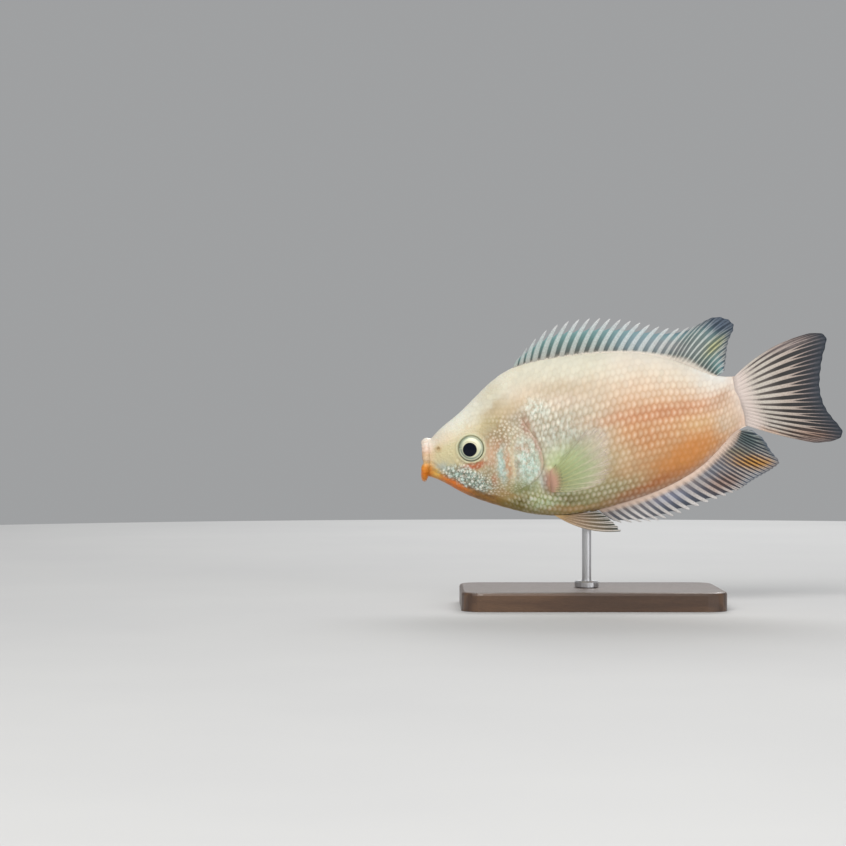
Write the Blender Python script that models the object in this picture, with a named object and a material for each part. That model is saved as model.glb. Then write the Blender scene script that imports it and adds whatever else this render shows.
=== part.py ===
"""A life-size kissing gourami, Helostoma temminckii, held up by a rod on a plain display stand.

Metres, +Z up. The fish looks along -X and its left flank faces -Y. X is 0 halfway along its total length,
Y is 0 on its plane of symmetry and Z is 0 under the stand.
"""

import math

import bmesh
import bpy
import numpy as np
from mathutils import Matrix, Vector

TOTAL_LENGTH = 0.182
MOUTH_X = -TOTAL_LENGTH / 2
GAP = 0.0003

# Outline of the body without its fins, as (x, z)
BACK_LINE = [
    (-0.0867, 0.0724), (-0.0839, 0.0755), (-0.0759, 0.0823), (-0.0690, 0.0890), (-0.0621, 0.0958),
    (-0.0543, 0.1015), (-0.0439, 0.1052), (-0.0254, 0.1084), (-0.0060, 0.1096), (0.0148, 0.1071),
    (0.0280, 0.1023), (0.0368, 0.0994), (0.0446, 0.0992), (0.0510, 0.1002),
]
BELLY_LINE = [
    (-0.0867, 0.0555), (-0.0828, 0.0540), (-0.0740, 0.0492), (-0.0621, 0.0445), (-0.0483, 0.0406),
    (-0.0344, 0.0388), (-0.0198, 0.0400), (-0.0051, 0.0438), (0.0100, 0.0488), (0.0240, 0.0556),
    (0.0346, 0.0636), (0.0420, 0.0714), (0.0465, 0.0758), (0.0510, 0.0780),
]
# Half the body's thickness, as (x, half width)
FLANK_WIDTH = [
    (-0.0867, 0.0050), (-0.0800, 0.0068), (-0.0696, 0.0094), (-0.0560, 0.0119), (-0.0400, 0.0133),
    (-0.0240, 0.0134), (-0.0060, 0.0122), (0.0100, 0.0101), (0.0260, 0.0070), (0.0380, 0.0044),
    (0.0510, 0.0025),
]
# Where the body is thickest, as (x, share of its depth above the belly)
WIDEST_SHARE = [
    (-0.0867, 0.50), (-0.0696, 0.48), (-0.0450, 0.42), (-0.0200, 0.45), (0.0150, 0.52), (0.0510, 0.52),
]
# How keel-like the back and the belly are, as (x, exponent): 0.5 is a half ellipse
BACK_KEEL = [(-0.0867, 0.50), (-0.0696, 0.62), (-0.0450, 0.68), (0.0150, 0.66), (0.0510, 0.60)]
BELLY_KEEL = [(-0.0867, 0.50), (-0.0600, 0.54), (-0.0300, 0.50), (0.0050, 0.60), (0.0510, 0.60)]

# Where one length of the body ends and the next begins, as (z, x)
GILL_SEAM = [
    (0.0410, -0.0590), (0.0450, -0.0562), (0.0478, -0.0532), (0.0508, -0.0478), (0.0534, -0.0433),
    (0.0568, -0.0401), (0.0607, -0.0388), (0.0659, -0.0394), (0.0711, -0.0416), (0.0763, -0.0452),
    (0.0819, -0.0487), (0.0909, -0.0521), (0.1026, -0.0556),
]
TAIL_SEAM = [(0.0620, 0.0352), (0.0840, 0.0300), (0.1040, 0.0262)]
FIN_SEAM = [(0.0776, 0.0503), (0.0810, 0.0500), (0.0860, 0.0486), (0.0920, 0.0462), (0.0991, 0.0446)]
HEAD_LENGTHS, TORSO_LENGTHS, TAIL_LENGTHS = 13, 14, 5
RING_STEPS = 16

# Gill cover: its front edge as (z, x), and how it lies in the head's side
GILL_FRONT = [(0.0496, -0.0520), (0.0540, -0.0529), (0.0672, -0.0534), (0.0758, -0.0529), (0.0816, -0.0512)]
GILL_LOW_Z, GILL_HIGH_Z = 0.0496, 0.0816
GILL_DEPTH = 0.0010
GILL_PROUD = 0.0004
GILL_ROWS, GILL_COLUMNS = 12, 6

EYE_CENTRE = Vector((-0.0696, 0.0, 0.0680))
EYE_RADIUS = 0.0054
EYE_BULGE = 0.0014
EYE_DEPTH = 0.0042
EYE_TURN = math.radians(11.0)
EYE_SIDES = 22

# Groove along the cheek's rear edge, as (step, x, z)
CHEEK_GROOVE = [
    (0, -0.0580, 0.0806), (1, -0.0591, 0.0752), (2, -0.0600, 0.0690), (3, -0.0606, 0.0628),
    (4, -0.0617, 0.0570), (5, -0.0650, 0.0524), (6, -0.0700, 0.0505),
]
GROOVE_RADIUS = 0.0005

NOSTRIL = Vector((-0.0837, 0.0, 0.0678))
NOSTRIL_RADIUS = 0.0006

# Lips: one ring of fleshy, folded lip round the open mouth, cut at its two corners
SNOUT_X = BACK_LINE[0][0]
LIP_CENTRE_Z = 0.0631
LIP_RING_WIDTH, LIP_RING_HEIGHT = 0.0036, 0.0071
LIP_THICKNESS = 0.0024
LIP_LENGTH = SNOUT_X - GAP - MOUTH_X
LIP_CORNER = math.radians(102.0)
LIP_FOLDS = 16
FOLD_DEPTH = 0.06
LIP_SIDES = 8
MOUTH_CAVITY = Vector((0.0050, 0.0017, 0.0048))

# Fins
SKIN_HALF = 0.00026
SPINE_HALF_WIDTH, RAY_HALF_WIDTH = 0.00068, 0.00038
ROOT_STEP = 0.13
FIN_STEPS = [0.0, ROOT_STEP, 0.42, 0.72, 1.0]

DORSAL_RAYS, DORSAL_SPINES = 31, 18
DORSAL_BASE = [
    (1, -0.0504), (4, -0.0420), (7, -0.0305), (9, -0.0221), (14, -0.0014), (18, 0.0139),
    (22, 0.0209), (26, 0.0279), (31, 0.0364),
]
DORSAL_MARGIN = [
    (1, -0.0483, 0.1078), (3, -0.0417, 0.1151), (4, -0.0370, 0.1188), (6, -0.0274, 0.1228),
    (9, -0.0138, 0.1241), (13, 0.0036, 0.1222), (16, 0.0158, 0.1199), (18, 0.0244, 0.1202),
    (19, 0.0282, 0.1213),
    (21.5, 0.0363, 0.1247), (24, 0.0439, 0.1214), (26, 0.0424, 0.1160), (29, 0.0408, 0.1076),
    (31, 0.0400, 0.1018),
]
DORSAL_FREE = [(1, 0.0016), (3, 0.0052), (6, 0.0066), (10, 0.0060), (16, 0.0036), (18, 0.0030)]

ANAL_RAYS, ANAL_SPINES = 32, 14
ANAL_BASE = [(1, -0.0129), (8, 0.0096), (14, 0.0282), (20, 0.0368), (26, 0.0428), (32, 0.0466)]
ANAL_MARGIN = [
    (1, -0.0047, 0.0359), (4, 0.0081, 0.0364), (8, 0.0213, 0.0399), (11, 0.0329, 0.0447),
    (14, 0.0437, 0.0488), (18, 0.0510, 0.0534), (22, 0.0577, 0.0573), (25, 0.0623, 0.0603),
    (26.4, 0.0637, 0.0622), (28, 0.0612, 0.0655), (30, 0.0583, 0.0699), (31, 0.0562, 0.0727),
    (32, 0.0522, 0.0756),
]
ANAL_FREE = [(1, 0.0020), (4, 0.0030), (10, 0.0026), (14, 0.0016)]

CAUDAL_RAYS = 16
CAUDAL_MARGIN = [
    (1, 0.0778, 0.1177), (2, 0.0821, 0.1175), (3, 0.0840, 0.1151), (4, 0.0832, 0.1108),
    (6, 0.0816, 0.1022), (8, 0.0813, 0.0933), (10, 0.0836, 0.0855), (12, 0.0886, 0.0789),
    (13, 0.0910, 0.0756), (14, 0.0901, 0.0726), (15, 0.0860, 0.0710), (16, 0.0808, 0.0704),
]
CAUDAL_BOW = [(1, 0.070), (4, 0.045), (8, 0.0), (16, -0.020)]

# Paired fins, on the left side, in the side view; the splay is how far the tips stand out from the flank
PECTORAL_RAYS = 11
PECTORAL_BASE = [(1, -0.0352, 0.0589), (6, -0.0346, 0.0542), (11, -0.0340, 0.0496)]
PECTORAL_MARGIN = [
    (1, -0.0240, 0.0745), (2, -0.0195, 0.0772), (3, -0.0153, 0.0780), (4, -0.0120, 0.0762),
    (5, -0.0106, 0.0726), (7, -0.0092, 0.0636), (8, -0.0096, 0.0590), (9, -0.0120, 0.0548),
    (10, -0.0168, 0.0518), (11, -0.0230, 0.0502),
]
PECTORAL_SPLAY = 0.0085
PECTORAL_ROOT_HALF = 0.0011

PELVIC_RAYS = 6
PELVIC_BASE = [(1, -0.0327), (6, -0.0275)]
PELVIC_BASE_Y = 0.0022
PELVIC_MARGIN = [
    (1, -0.0053, 0.0331), (2, -0.0068, 0.0346), (3, -0.0086, 0.0364), (4, -0.0104, 0.0382),
    (5, -0.0122, 0.0396), (6, -0.0146, 0.0408),
]
PELVIC_SPLAY = [(1, 0.0066), (6, 0.0040)]

# Display stand
STAND_X = -0.0180
BASE_LENGTH, BASE_WIDTH, BASE_HEIGHT = 0.112, 0.066, 0.0080
BASE_CORNER, BASE_EDGE = 0.0090, 0.0012
ROD_X = -0.0195
ROD_RADIUS = 0.0020
ROD_INTO_BASE, ROD_INTO_BODY = 0.0050, 0.0060
ROD_SIDES = 24
COLLAR_RADIUS, COLLAR_HEIGHT, COLLAR_EDGE = 0.0052, 0.0026, 0.0006

COLOURS = {
    "skin_head": ((0.80, 0.66, 0.48), 0.42), "skin_body": ((0.82, 0.58, 0.38), 0.42),
    "skin_tail": ((0.84, 0.66, 0.50), 0.42), "gill_cover": ((0.62, 0.72, 0.66), 0.34),
    "lip": ((0.86, 0.58, 0.40), 0.45), "eye": ((0.03, 0.04, 0.07), 0.08),
    "fin": ((0.62, 0.62, 0.60), 0.40), "stand_wood": ((0.10, 0.05, 0.03), 0.38),
    "stand_metal": ((0.62, 0.62, 0.64), 0.28),
}


def smooth_curve(knots):
    """A function through (parameter, value or values) knots: a natural cubic spline, straight beyond them."""
    table = np.array(knots, float)
    at, value = table[:, 0], table[:, 1:]
    count = len(at)
    system, right = np.eye(count), np.zeros_like(value)
    for i in range(1, count - 1):
        before, after = at[i] - at[i - 1], at[i + 1] - at[i]
        system[i, i - 1:i + 2] = before, 2 * (before + after), after
        right[i] = 6 * ((value[i + 1] - value[i]) / after - (value[i] - value[i - 1]) / before)
    bend = np.linalg.solve(system, right)

    def evaluate(t):
        i = min(max(int(np.searchsorted(at, t, side="right")) - 1, 0), count - 2)
        h = at[i + 1] - at[i]
        a, b = (at[i + 1] - t) / h, (t - at[i]) / h
        slope = (value[i + 1] - value[i]) / h
        if t < at[0]:
            result = value[0] + (slope - h * bend[1] / 6) * (t - at[0])
        elif t > at[-1]:
            result = value[-1] + (slope + h * bend[-2] / 6) * (t - at[-1])
        else:
            curved = ((a ** 3 - a) * bend[i] + (b ** 3 - b) * bend[i + 1]) * h * h / 6
            result = a * value[i] + b * value[i + 1] + curved
        return float(result[0]) if len(result) == 1 else result

    return evaluate


back_z, belly_z, flank_width = map(smooth_curve, (BACK_LINE, BELLY_LINE, FLANK_WIDTH))
widest_share, back_keel, belly_keel = map(smooth_curve, (WIDEST_SHARE, BACK_KEEL, BELLY_KEEL))
gill_seam, tail_seam, fin_seam = map(smooth_curve, (GILL_SEAM, TAIL_SEAM, FIN_SEAM))


def widest_z(x):
    return belly_z(x) + widest_share(x) * (back_z(x) - belly_z(x))


def height_at(x, level):
    """The height at a level from -1, the belly, through 0, where the body is widest, to 1, the back."""
    middle = widest_z(x)
    reach = back_z(x) - middle if level > 0 else middle - belly_z(x)
    return middle + level * reach


def half_width(x, level):
    keel = back_keel(x) if level > 0 else belly_keel(x)
    return flank_width(x) * max(0.0, 1 - level * level) ** keel


def flank_y(x, z):
    """How far the flank is from the plane of symmetry at a place in the side view."""
    middle = widest_z(x)
    level = (z - middle) / (back_z(x) - middle if z > middle else middle - belly_z(x))
    return half_width(x, max(-1.0, min(1.0, level)))


def belly_surface_z(x, y):
    """The height of the belly's surface at a distance y from the plane of symmetry."""
    level = math.sqrt(1 - (y / flank_width(x)) ** (1 / belly_keel(x)))
    return height_at(x, -level)


def on_line(line, level):
    """Where a dividing line given as x for each z crosses a level of the body."""
    x = line(widest_z(line(0.07)))
    for _ in range(24):
        x = line(height_at(x, level))
    return x


def ring_levels():
    return [math.sin(math.radians(90) * (2 * i / RING_STEPS - 1)) for i in range(RING_STEPS + 1)]


def gill_rear(z):
    """The seam behind the gill cover as the faceted flanks have it."""
    crossings = [on_line(gill_seam, level) for level in ring_levels()]
    heights = [height_at(x, level) for x, level in zip(crossings, ring_levels())]
    return float(np.interp(z, heights, crossings))


def new_object(name, points, faces, material, smooth=True):
    mesh = bpy.data.meshes.new(name)
    mesh.from_pydata([tuple(p) for p in points], [], faces)
    work = bmesh.new()
    work.from_mesh(mesh)
    bmesh.ops.recalc_face_normals(work, faces=work.faces)
    work.to_mesh(mesh)
    work.free()
    made = bpy.data.objects.new(name, mesh)
    bpy.context.scene.collection.objects.link(made)
    finish_object(made, material, smooth)
    return made


def finish_object(made, material, smooth=True):
    made.data.materials.clear()
    made.data.materials.append(painted(material))
    if smooth:
        made.data.shade_smooth()
        made.data.set_sharp_from_angle(angle=math.radians(38))


def painted(name):
    found = bpy.data.materials.get(name)
    if found:
        return found
    colour, roughness = COLOURS[name]
    made = bpy.data.materials.new(name)
    made.use_nodes = True
    shader = made.node_tree.nodes["Principled BSDF"]
    shader.inputs["Base Color"].default_value = (*colour, 1.0)
    shader.inputs["Roughness"].default_value = roughness
    shader.inputs["Metallic"].default_value = 1.0 if name == "stand_metal" else 0.0
    return made


def combine(target, tool, operation):
    """Cuts the tool out of the target, or joins it on, and removes the tool."""
    modifier = target.modifiers.new(operation.lower(), "BOOLEAN")
    modifier.operation = operation
    modifier.object = tool
    modifier.solver = "EXACT"
    with bpy.context.temp_override(object=target, active_object=target):
        bpy.ops.object.modifier_apply(modifier=modifier.name)
    bpy.data.objects.remove(tool)


def body_length(name, material, start, end, steps):
    """One length of the body between two dividing lines, each a function from level to x."""
    points, rings = [], []
    for step in range(steps + 1):
        share = step / steps
        ring = {}
        for i, level in enumerate(ring_levels()):
            x = start(level) * (1 - share) + end(level) * share
            z = height_at(x, level)
            for side in (-1, 1):
                if 0 < i < RING_STEPS or side == -1:
                    ring[i, side] = len(points)
                    points.append((x, side * half_width(x, level), z))
        ring[0, 1], ring[RING_STEPS, 1] = ring[0, -1], ring[RING_STEPS, -1]
        rings.append(ring)

    def face(*corners):
        return tuple(dict.fromkeys(corners))

    faces = []
    for i in range(RING_STEPS):
        for ring in (rings[0], rings[-1]):
            faces.append(face(ring[i, -1], ring[i + 1, -1], ring[i + 1, 1], ring[i, 1]))
        for near, far in zip(rings, rings[1:]):
            for side in (-1, 1):
                faces.append(face(near[i, side], far[i, side], far[i + 1, side], near[i + 1, side]))
    return new_object(name, points, faces, material)


def gill_plate(name, side, margin, low, high):
    """A curved plate in the head's side. margin widens its outline; low and high are how far its inner
    and outer faces lie from the flank. A margin above 0 makes the tool that cuts its bed."""
    front_edge = smooth_curve(GILL_FRONT)
    overrun = 0.004 if margin else 0.0
    points, faces = [], []
    for outer in (0, 1):
        for row in range(GILL_ROWS + 1):
            rise = row / GILL_ROWS
            z = GILL_LOW_Z - margin + rise * (GILL_HIGH_Z - GILL_LOW_Z + 2 * margin)
            front = front_edge(z) - margin
            rear = gill_rear(z) - GAP + overrun
            for column in range(GILL_COLUMNS + 1):
                back = column / GILL_COLUMNS
                x = front + back * (rear - front)
                offset = high * back if outer and not margin else (high if outer else -low)
                points.append((x, side * (flank_y(x, z) + offset), z))
    width = GILL_COLUMNS + 1
    layer = width * (GILL_ROWS + 1)
    for row in range(GILL_ROWS):
        for column in range(GILL_COLUMNS):
            a = row * width + column
            cell = (a, a + 1, a + 1 + width, a + width)
            faces += [cell, tuple(layer + c for c in reversed(cell))]
    border = [column for column in range(width)]
    border += [row * width + width - 1 for row in range(1, GILL_ROWS + 1)]
    border += [GILL_ROWS * width + column for column in range(width - 2, -1, -1)]
    border += [row * width for row in range(GILL_ROWS - 1, 0, -1)]
    for a, b in zip(border, border[1:] + border[:1]):
        faces.append((a, b, b + layer, a + layer))
    return new_object(name, points, faces, "gill_cover")


def turned(name, material, profile, sides, place):
    """A solid turned about its own Z axis from a profile of (radius, height), closed at both ends."""
    points, faces = [], []
    for radius, height in profile:
        for side in range(sides):
            angle = 2 * math.pi * side / sides
            points.append(place @ Vector((radius * math.cos(angle), radius * math.sin(angle), height)))
    for ring in range(len(profile) - 1):
        for side in range(sides):
            a, b = ring * sides + side, ring * sides + (side + 1) % sides
            faces.append((a, b, b + sides, a + sides))
    for ring in (0, len(profile) - 1):
        faces.append(tuple(range(ring * sides, (ring + 1) * sides)))
    return new_object(name, points, faces, material)


def eye_place(side):
    """From the eye's own axes, Z out of the head, to the eye's place on that side."""
    surface = flank_y(EYE_CENTRE.x, EYE_CENTRE.z)
    outward = Vector((-math.sin(EYE_TURN), side * math.cos(EYE_TURN), 0.0))
    centre = Vector((EYE_CENTRE.x, side * surface, EYE_CENTRE.z))
    return Matrix.Translation(centre) @ outward.to_track_quat("Z", "Y").to_matrix().to_4x4()


def make_eye(side, name):
    """The eyeball, a shallow drum with a domed front, and its socket's cutter."""
    steps = (0, 18, 36, 54, 72, 86)
    turns = [math.radians(a) for a in reversed(steps)]
    front = [(EYE_RADIUS * math.sin(turn), EYE_BULGE * math.cos(turn)) for turn in turns]
    front[-1] = (EYE_RADIUS * 0.06, EYE_BULGE)
    rear = [(EYE_RADIUS * 0.45, -EYE_DEPTH), (EYE_RADIUS * 0.80, -EYE_DEPTH * 0.75), (EYE_RADIUS, -0.0012)]
    turned(name, "eye", rear + front, EYE_SIDES, eye_place(side))
    reach = EYE_RADIUS + GAP
    cutter = [(reach * 0.48, -EYE_DEPTH - GAP), (reach * 0.82, -EYE_DEPTH * 0.75 - GAP), (reach, -0.0014)]
    cutter += [(reach, 0.0040)]
    return turned("socket_cutter", "eye", cutter, EYE_SIDES, eye_place(side))


def groove_cutter(side):
    """A slim tube that follows the flank, thinnest at its two ends."""
    line = smooth_curve(CHEEK_GROOVE)
    steps, sides = 14, 6
    points, faces = [], []
    for step in range(steps + 1):
        x, z = line(6 * step / steps)
        radius = GROOVE_RADIUS * (0.4 + 0.6 * math.sin(math.pi * step / steps))
        for k in range(sides):
            turn = 2 * math.pi * k / sides
            points.append((x + radius * math.cos(turn), side * (flank_y(x, z) + radius * math.sin(turn)), z))
    for step in range(steps):
        for k in range(sides):
            a, b = step * sides + k, step * sides + (k + 1) % sides
            faces.append((a, b, b + sides, a + sides))
    faces += [tuple(range(sides)), tuple(range(steps * sides, (steps + 1) * sides))]
    return new_object("groove_cutter", points, faces, "skin_head")


def ellipsoid(name, centre, radii):
    work = bmesh.new()
    bmesh.ops.create_uvsphere(work, u_segments=12, v_segments=8, radius=1.0)
    shape = Matrix.Translation(centre) @ Matrix.Diagonal((*radii, 1.0))
    bmesh.ops.transform(work, matrix=shape, verts=work.verts)
    mesh = bpy.data.meshes.new(name)
    work.to_mesh(mesh)
    work.free()
    made = bpy.data.objects.new(name, mesh)
    bpy.context.scene.collection.objects.link(made)
    return made


def make_lip(name, start, end, steps):
    """Part of the lip ring, between two angles from the top of the mouth, with its back flat on the snout."""
    points, faces = [], []
    half_length = LIP_LENGTH * 0.52
    for step in range(steps + 1):
        angle = start + (end - start) * step / steps
        to_end = min(step, steps - step) / steps
        fullness = 0.72 + 0.28 * math.sin(math.pi / 2 * min(1.0, to_end * 5))
        thickness = LIP_THICKNESS * fullness * (1 + FOLD_DEPTH * math.cos(2 * LIP_FOLDS * (angle - start)))
        ring_y, ring_z = LIP_RING_WIDTH * math.sin(angle), LIP_RING_HEIGHT * math.cos(angle)
        out = Vector((ring_y / LIP_RING_WIDTH ** 2, ring_z / LIP_RING_HEIGHT ** 2)).normalized()
        for side in range(LIP_SIDES):
            turn = 2 * math.pi * side / LIP_SIDES
            across = math.copysign(abs(math.cos(turn)) ** 0.8, math.cos(turn))
            along = math.copysign(abs(math.sin(turn)) ** 0.8, math.sin(turn))
            x = MOUTH_X + half_length * (1 + along)
            points.append((
                min(x, SNOUT_X - GAP),
                ring_y + out.x * thickness * across,
                LIP_CENTRE_Z + ring_z + out.y * thickness * across,
            ))
    for step in range(steps):
        for side in range(LIP_SIDES):
            a, b = step * LIP_SIDES + side, step * LIP_SIDES + (side + 1) % LIP_SIDES
            faces.append((a, b, b + LIP_SIDES, a + LIP_SIDES))
    faces += [tuple(range(LIP_SIDES)), tuple(range(steps * LIP_SIDES, (steps + 1) * LIP_SIDES))]
    return new_object(name, points, faces, "lip")


def make_fin(name, rays, spines, base, margin, bow, free, root_half, ray_half, normal, steps=FIN_STEPS):
    """A fin's membrane with a ridge on both faces along each ray, and each spine's free tip.

    base, margin, bow, free and root_half are functions of the ray number, which counts from 1 and may lie
    between two rays: where a ray starts and ends, how far it bows as a share of its length, how much of it
    stands free of the membrane, and half the fin's thickness at its root. ray_half is half a ray's thickness
    at its root and at its tip.
    """
    def ray_point(number, share):
        start, end = Vector(base(number)), Vector(margin(number))
        middle = (start + end) / 2 + 2 * bow(number) * (end - start).cross(Vector((0.0, 1.0, 0.0)))
        return start * (1 - share) ** 2 + middle * 2 * share * (1 - share) + end * share ** 2

    def spread(number):
        step = (Vector(base(number + 0.5)) - Vector(base(number - 0.5))).length
        return min(0.28, (SPINE_HALF_WIDTH if number <= spines else RAY_HALF_WIDTH) / step)

    columns = []
    for number in range(1, rays + 1):
        reach = spread(number)
        columns += [(number - reach, False), (number, True), (number + reach, False)]
    points, faces = [], []
    for face_side in (1, -1):
        for number, on_ray in columns:
            whole = (Vector(margin(number)) - Vector(base(number))).length
            member = 1 - free(number) / whole if number < spines + 0.5 else 1.0
            for share in steps:
                half = SKIN_HALF if not on_ray else ray_half[0] + (ray_half[1] - ray_half[0]) * share
                half += max(0.0, root_half(number) - half) * max(0.0, 1 - share / ROOT_STEP)
                points.append(ray_point(number, share * member) + normal * half * face_side)
    height = len(steps)
    layer = height * len(columns)
    for column in range(len(columns) - 1):
        for step in range(height - 1):
            a = column * height + step
            b = a + height
            cells = ((a, a + 1, b + 1), (a, b + 1, b))
            if column % 3 == 0:
                cells = ((a, a + 1, b), (a + 1, b + 1, b))
            for cell in cells:
                faces += [cell, tuple(layer + c for c in reversed(cell))]
    last = (len(columns) - 1) * height
    for first in (0, last):
        for step in range(height - 1):
            a = first + step
            faces.append((a, a + 1, a + 1 + layer, a + layer))
    for column in range(len(columns) - 1):
        a, b = column * height, (column + 1) * height
        faces.append((a, b, b + layer, a + layer))
        ray_number = column // 3 + 1
        if ray_number > spines or column % 3 == 2:
            a, b = a + height - 1, b + height - 1
            faces.append((a, b, b + layer, a + layer))
    for number in range(1, spines + 1):
        tops = [(3 * (number - 1) + k) * height + height - 1 for k in range(3)]
        loop = tops + [layer + top for top in reversed(tops)]
        points.append(Vector(margin(number)))
        faces += [(a, b, len(points) - 1) for a, b in zip(loop, loop[1:] + loop[:1])]
    return new_object(name, points, faces, "fin")


def in_plane(curve):
    """A side-view curve of (x, z) as points of the plane of symmetry."""
    def point(number):
        x, z = curve(number)
        return (x, 0.0, z)
    return point


def along_body(knots, line, gap):
    """Root points on the back or the belly, from knots of (ray number, x)."""
    place = smooth_curve(knots)

    def point(number):
        x = place(number)
        return (x, 0.0, line(x) + gap)

    return point


def constant(value):
    return lambda number: value


def make_fins():
    up, flat = Vector((0.0, 1.0, 0.0)), constant(0.0)
    make_fin(
        "dorsal_fin", DORSAL_RAYS, DORSAL_SPINES, along_body(DORSAL_BASE, back_z, GAP),
        in_plane(smooth_curve(DORSAL_MARGIN)), constant(0.055), smooth_curve(DORSAL_FREE),
        constant(0.0009), (0.00062, 0.00040), up,
    )
    make_fin(
        "anal_fin", ANAL_RAYS, ANAL_SPINES, along_body(ANAL_BASE, belly_z, -GAP),
        in_plane(smooth_curve(ANAL_MARGIN)), constant(-0.030), smooth_curve(ANAL_FREE),
        constant(0.0009), (0.00062, 0.00040), up,
    )
    seat_z = np.linspace(0.0988, 0.0780, 9)
    seat = [(1 + (CAUDAL_RAYS - 1) * k / 8, fin_seam(z) + GAP, z) for k, z in enumerate(seat_z)]
    middle_ray = (1 + CAUDAL_RAYS) / 2
    make_fin(
        "caudal_fin", CAUDAL_RAYS, 0, in_plane(smooth_curve(seat)), in_plane(smooth_curve(CAUDAL_MARGIN)),
        smooth_curve(CAUDAL_BOW), flat,
        lambda n: 0.0008 + 0.0012 * (1 - ((n - middle_ray) / middle_ray) ** 2), (0.00070, 0.00042), up,
        steps=[0.0, ROOT_STEP, 0.36, 0.58, 0.80, 1.0],
    )
    for side, tag in ((-1, "left"), (1, "right")):
        make_pectoral(side, "pectoral_fin_" + tag)
        make_pelvic(side, "pelvic_fin_" + tag)


def make_pectoral(side, name):
    """A fan that stands off the flank, with a thick root lying flat on it."""
    root, tips = smooth_curve(PECTORAL_BASE), smooth_curve(PECTORAL_MARGIN)

    def base(number):
        x, z = root(number)
        return (x, side * (flank_y(x, z) + GAP + PECTORAL_ROOT_HALF * 1.25), z)

    def margin(number):
        x, z = tips(number)
        return (x, base(number)[1] + side * PECTORAL_SPLAY, z)

    reach = tips(6)[0] - root(6)[0]
    normal = Vector((-PECTORAL_SPLAY, side * reach, 0.0)).normalized()
    make_fin(
        name, PECTORAL_RAYS, 0, base, margin, constant(0.0), constant(0.0),
        constant(PECTORAL_ROOT_HALF), (0.00052, 0.00032), normal,
    )


def make_pelvic(side, name):
    """A narrow fan from the breast, its long first ray lowest and furthest out."""
    root, tips, splay = smooth_curve(PELVIC_BASE), smooth_curve(PELVIC_MARGIN), smooth_curve(PELVIC_SPLAY)
    root_half = 0.0007

    def base(number):
        x = root(number)
        return (x, side * PELVIC_BASE_Y, belly_surface_z(x, PELVIC_BASE_Y - root_half) - GAP)

    def margin(number):
        x, z = tips(number)
        return (x, side * (PELVIC_BASE_Y + splay(number)), z)

    make_fin(
        name, PELVIC_RAYS, 1, base, margin, smooth_curve([(1, -0.085), (6, 0.0)]), constant(0.0009),
        constant(root_half), (0.00062, 0.00036), Vector((-0.22, side * 0.97, 0.10)).normalized(),
    )


def make_head():
    head = body_length(
        "head", "skin_head", constant(SNOUT_X), lambda level: on_line(gill_seam, level) - GAP / 2,
        HEAD_LENGTHS,
    )
    for side, tag in ((-1, "left"), (1, "right")):
        combine(head, gill_plate("bed_cutter", side, GAP, GILL_DEPTH + GAP, 0.004), "DIFFERENCE")
        gill_plate("gill_cover_" + tag, side, 0.0, GILL_DEPTH, GILL_PROUD)
        combine(head, make_eye(side, "eye_" + tag), "DIFFERENCE")
        combine(head, groove_cutter(side), "DIFFERENCE")
        place = Vector((NOSTRIL.x, side * flank_y(NOSTRIL.x, NOSTRIL.z), NOSTRIL.z))
        combine(head, ellipsoid("nostril_cutter", place, (NOSTRIL_RADIUS,) * 3), "DIFFERENCE")
    mouth = Vector((SNOUT_X, 0.0, LIP_CENTRE_Z))
    combine(head, ellipsoid("mouth_cutter", mouth, MOUTH_CAVITY), "DIFFERENCE")
    finish_object(head, "skin_head")
    corner_gap = GAP / 2 / LIP_RING_WIDTH
    make_lip("upper_lip", -LIP_CORNER + corner_gap, LIP_CORNER - corner_gap, 36)
    make_lip("lower_lip", LIP_CORNER + corner_gap, 2 * math.pi - LIP_CORNER - corner_gap, 28)


def make_trunk():
    torso = body_length(
        "torso", "skin_body", lambda level: on_line(gill_seam, level) + GAP / 2,
        lambda level: on_line(tail_seam, level) - GAP / 2, TORSO_LENGTHS,
    )
    body_length(
        "tail", "skin_tail", lambda level: on_line(tail_seam, level) + GAP / 2,
        lambda level: on_line(fin_seam, level), TAIL_LENGTHS,
    )
    top = belly_z(ROD_X) + ROD_INTO_BODY
    hole = [(ROD_RADIUS + GAP, belly_z(ROD_X) - 0.004), (ROD_RADIUS + GAP, top + GAP)]
    at_rod = Matrix.Translation((ROD_X, 0.0, 0.0))
    combine(torso, turned("rod_cutter", "stand_metal", hole, ROD_SIDES, at_rod), "DIFFERENCE")
    finish_object(torso, "skin_body")


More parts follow.
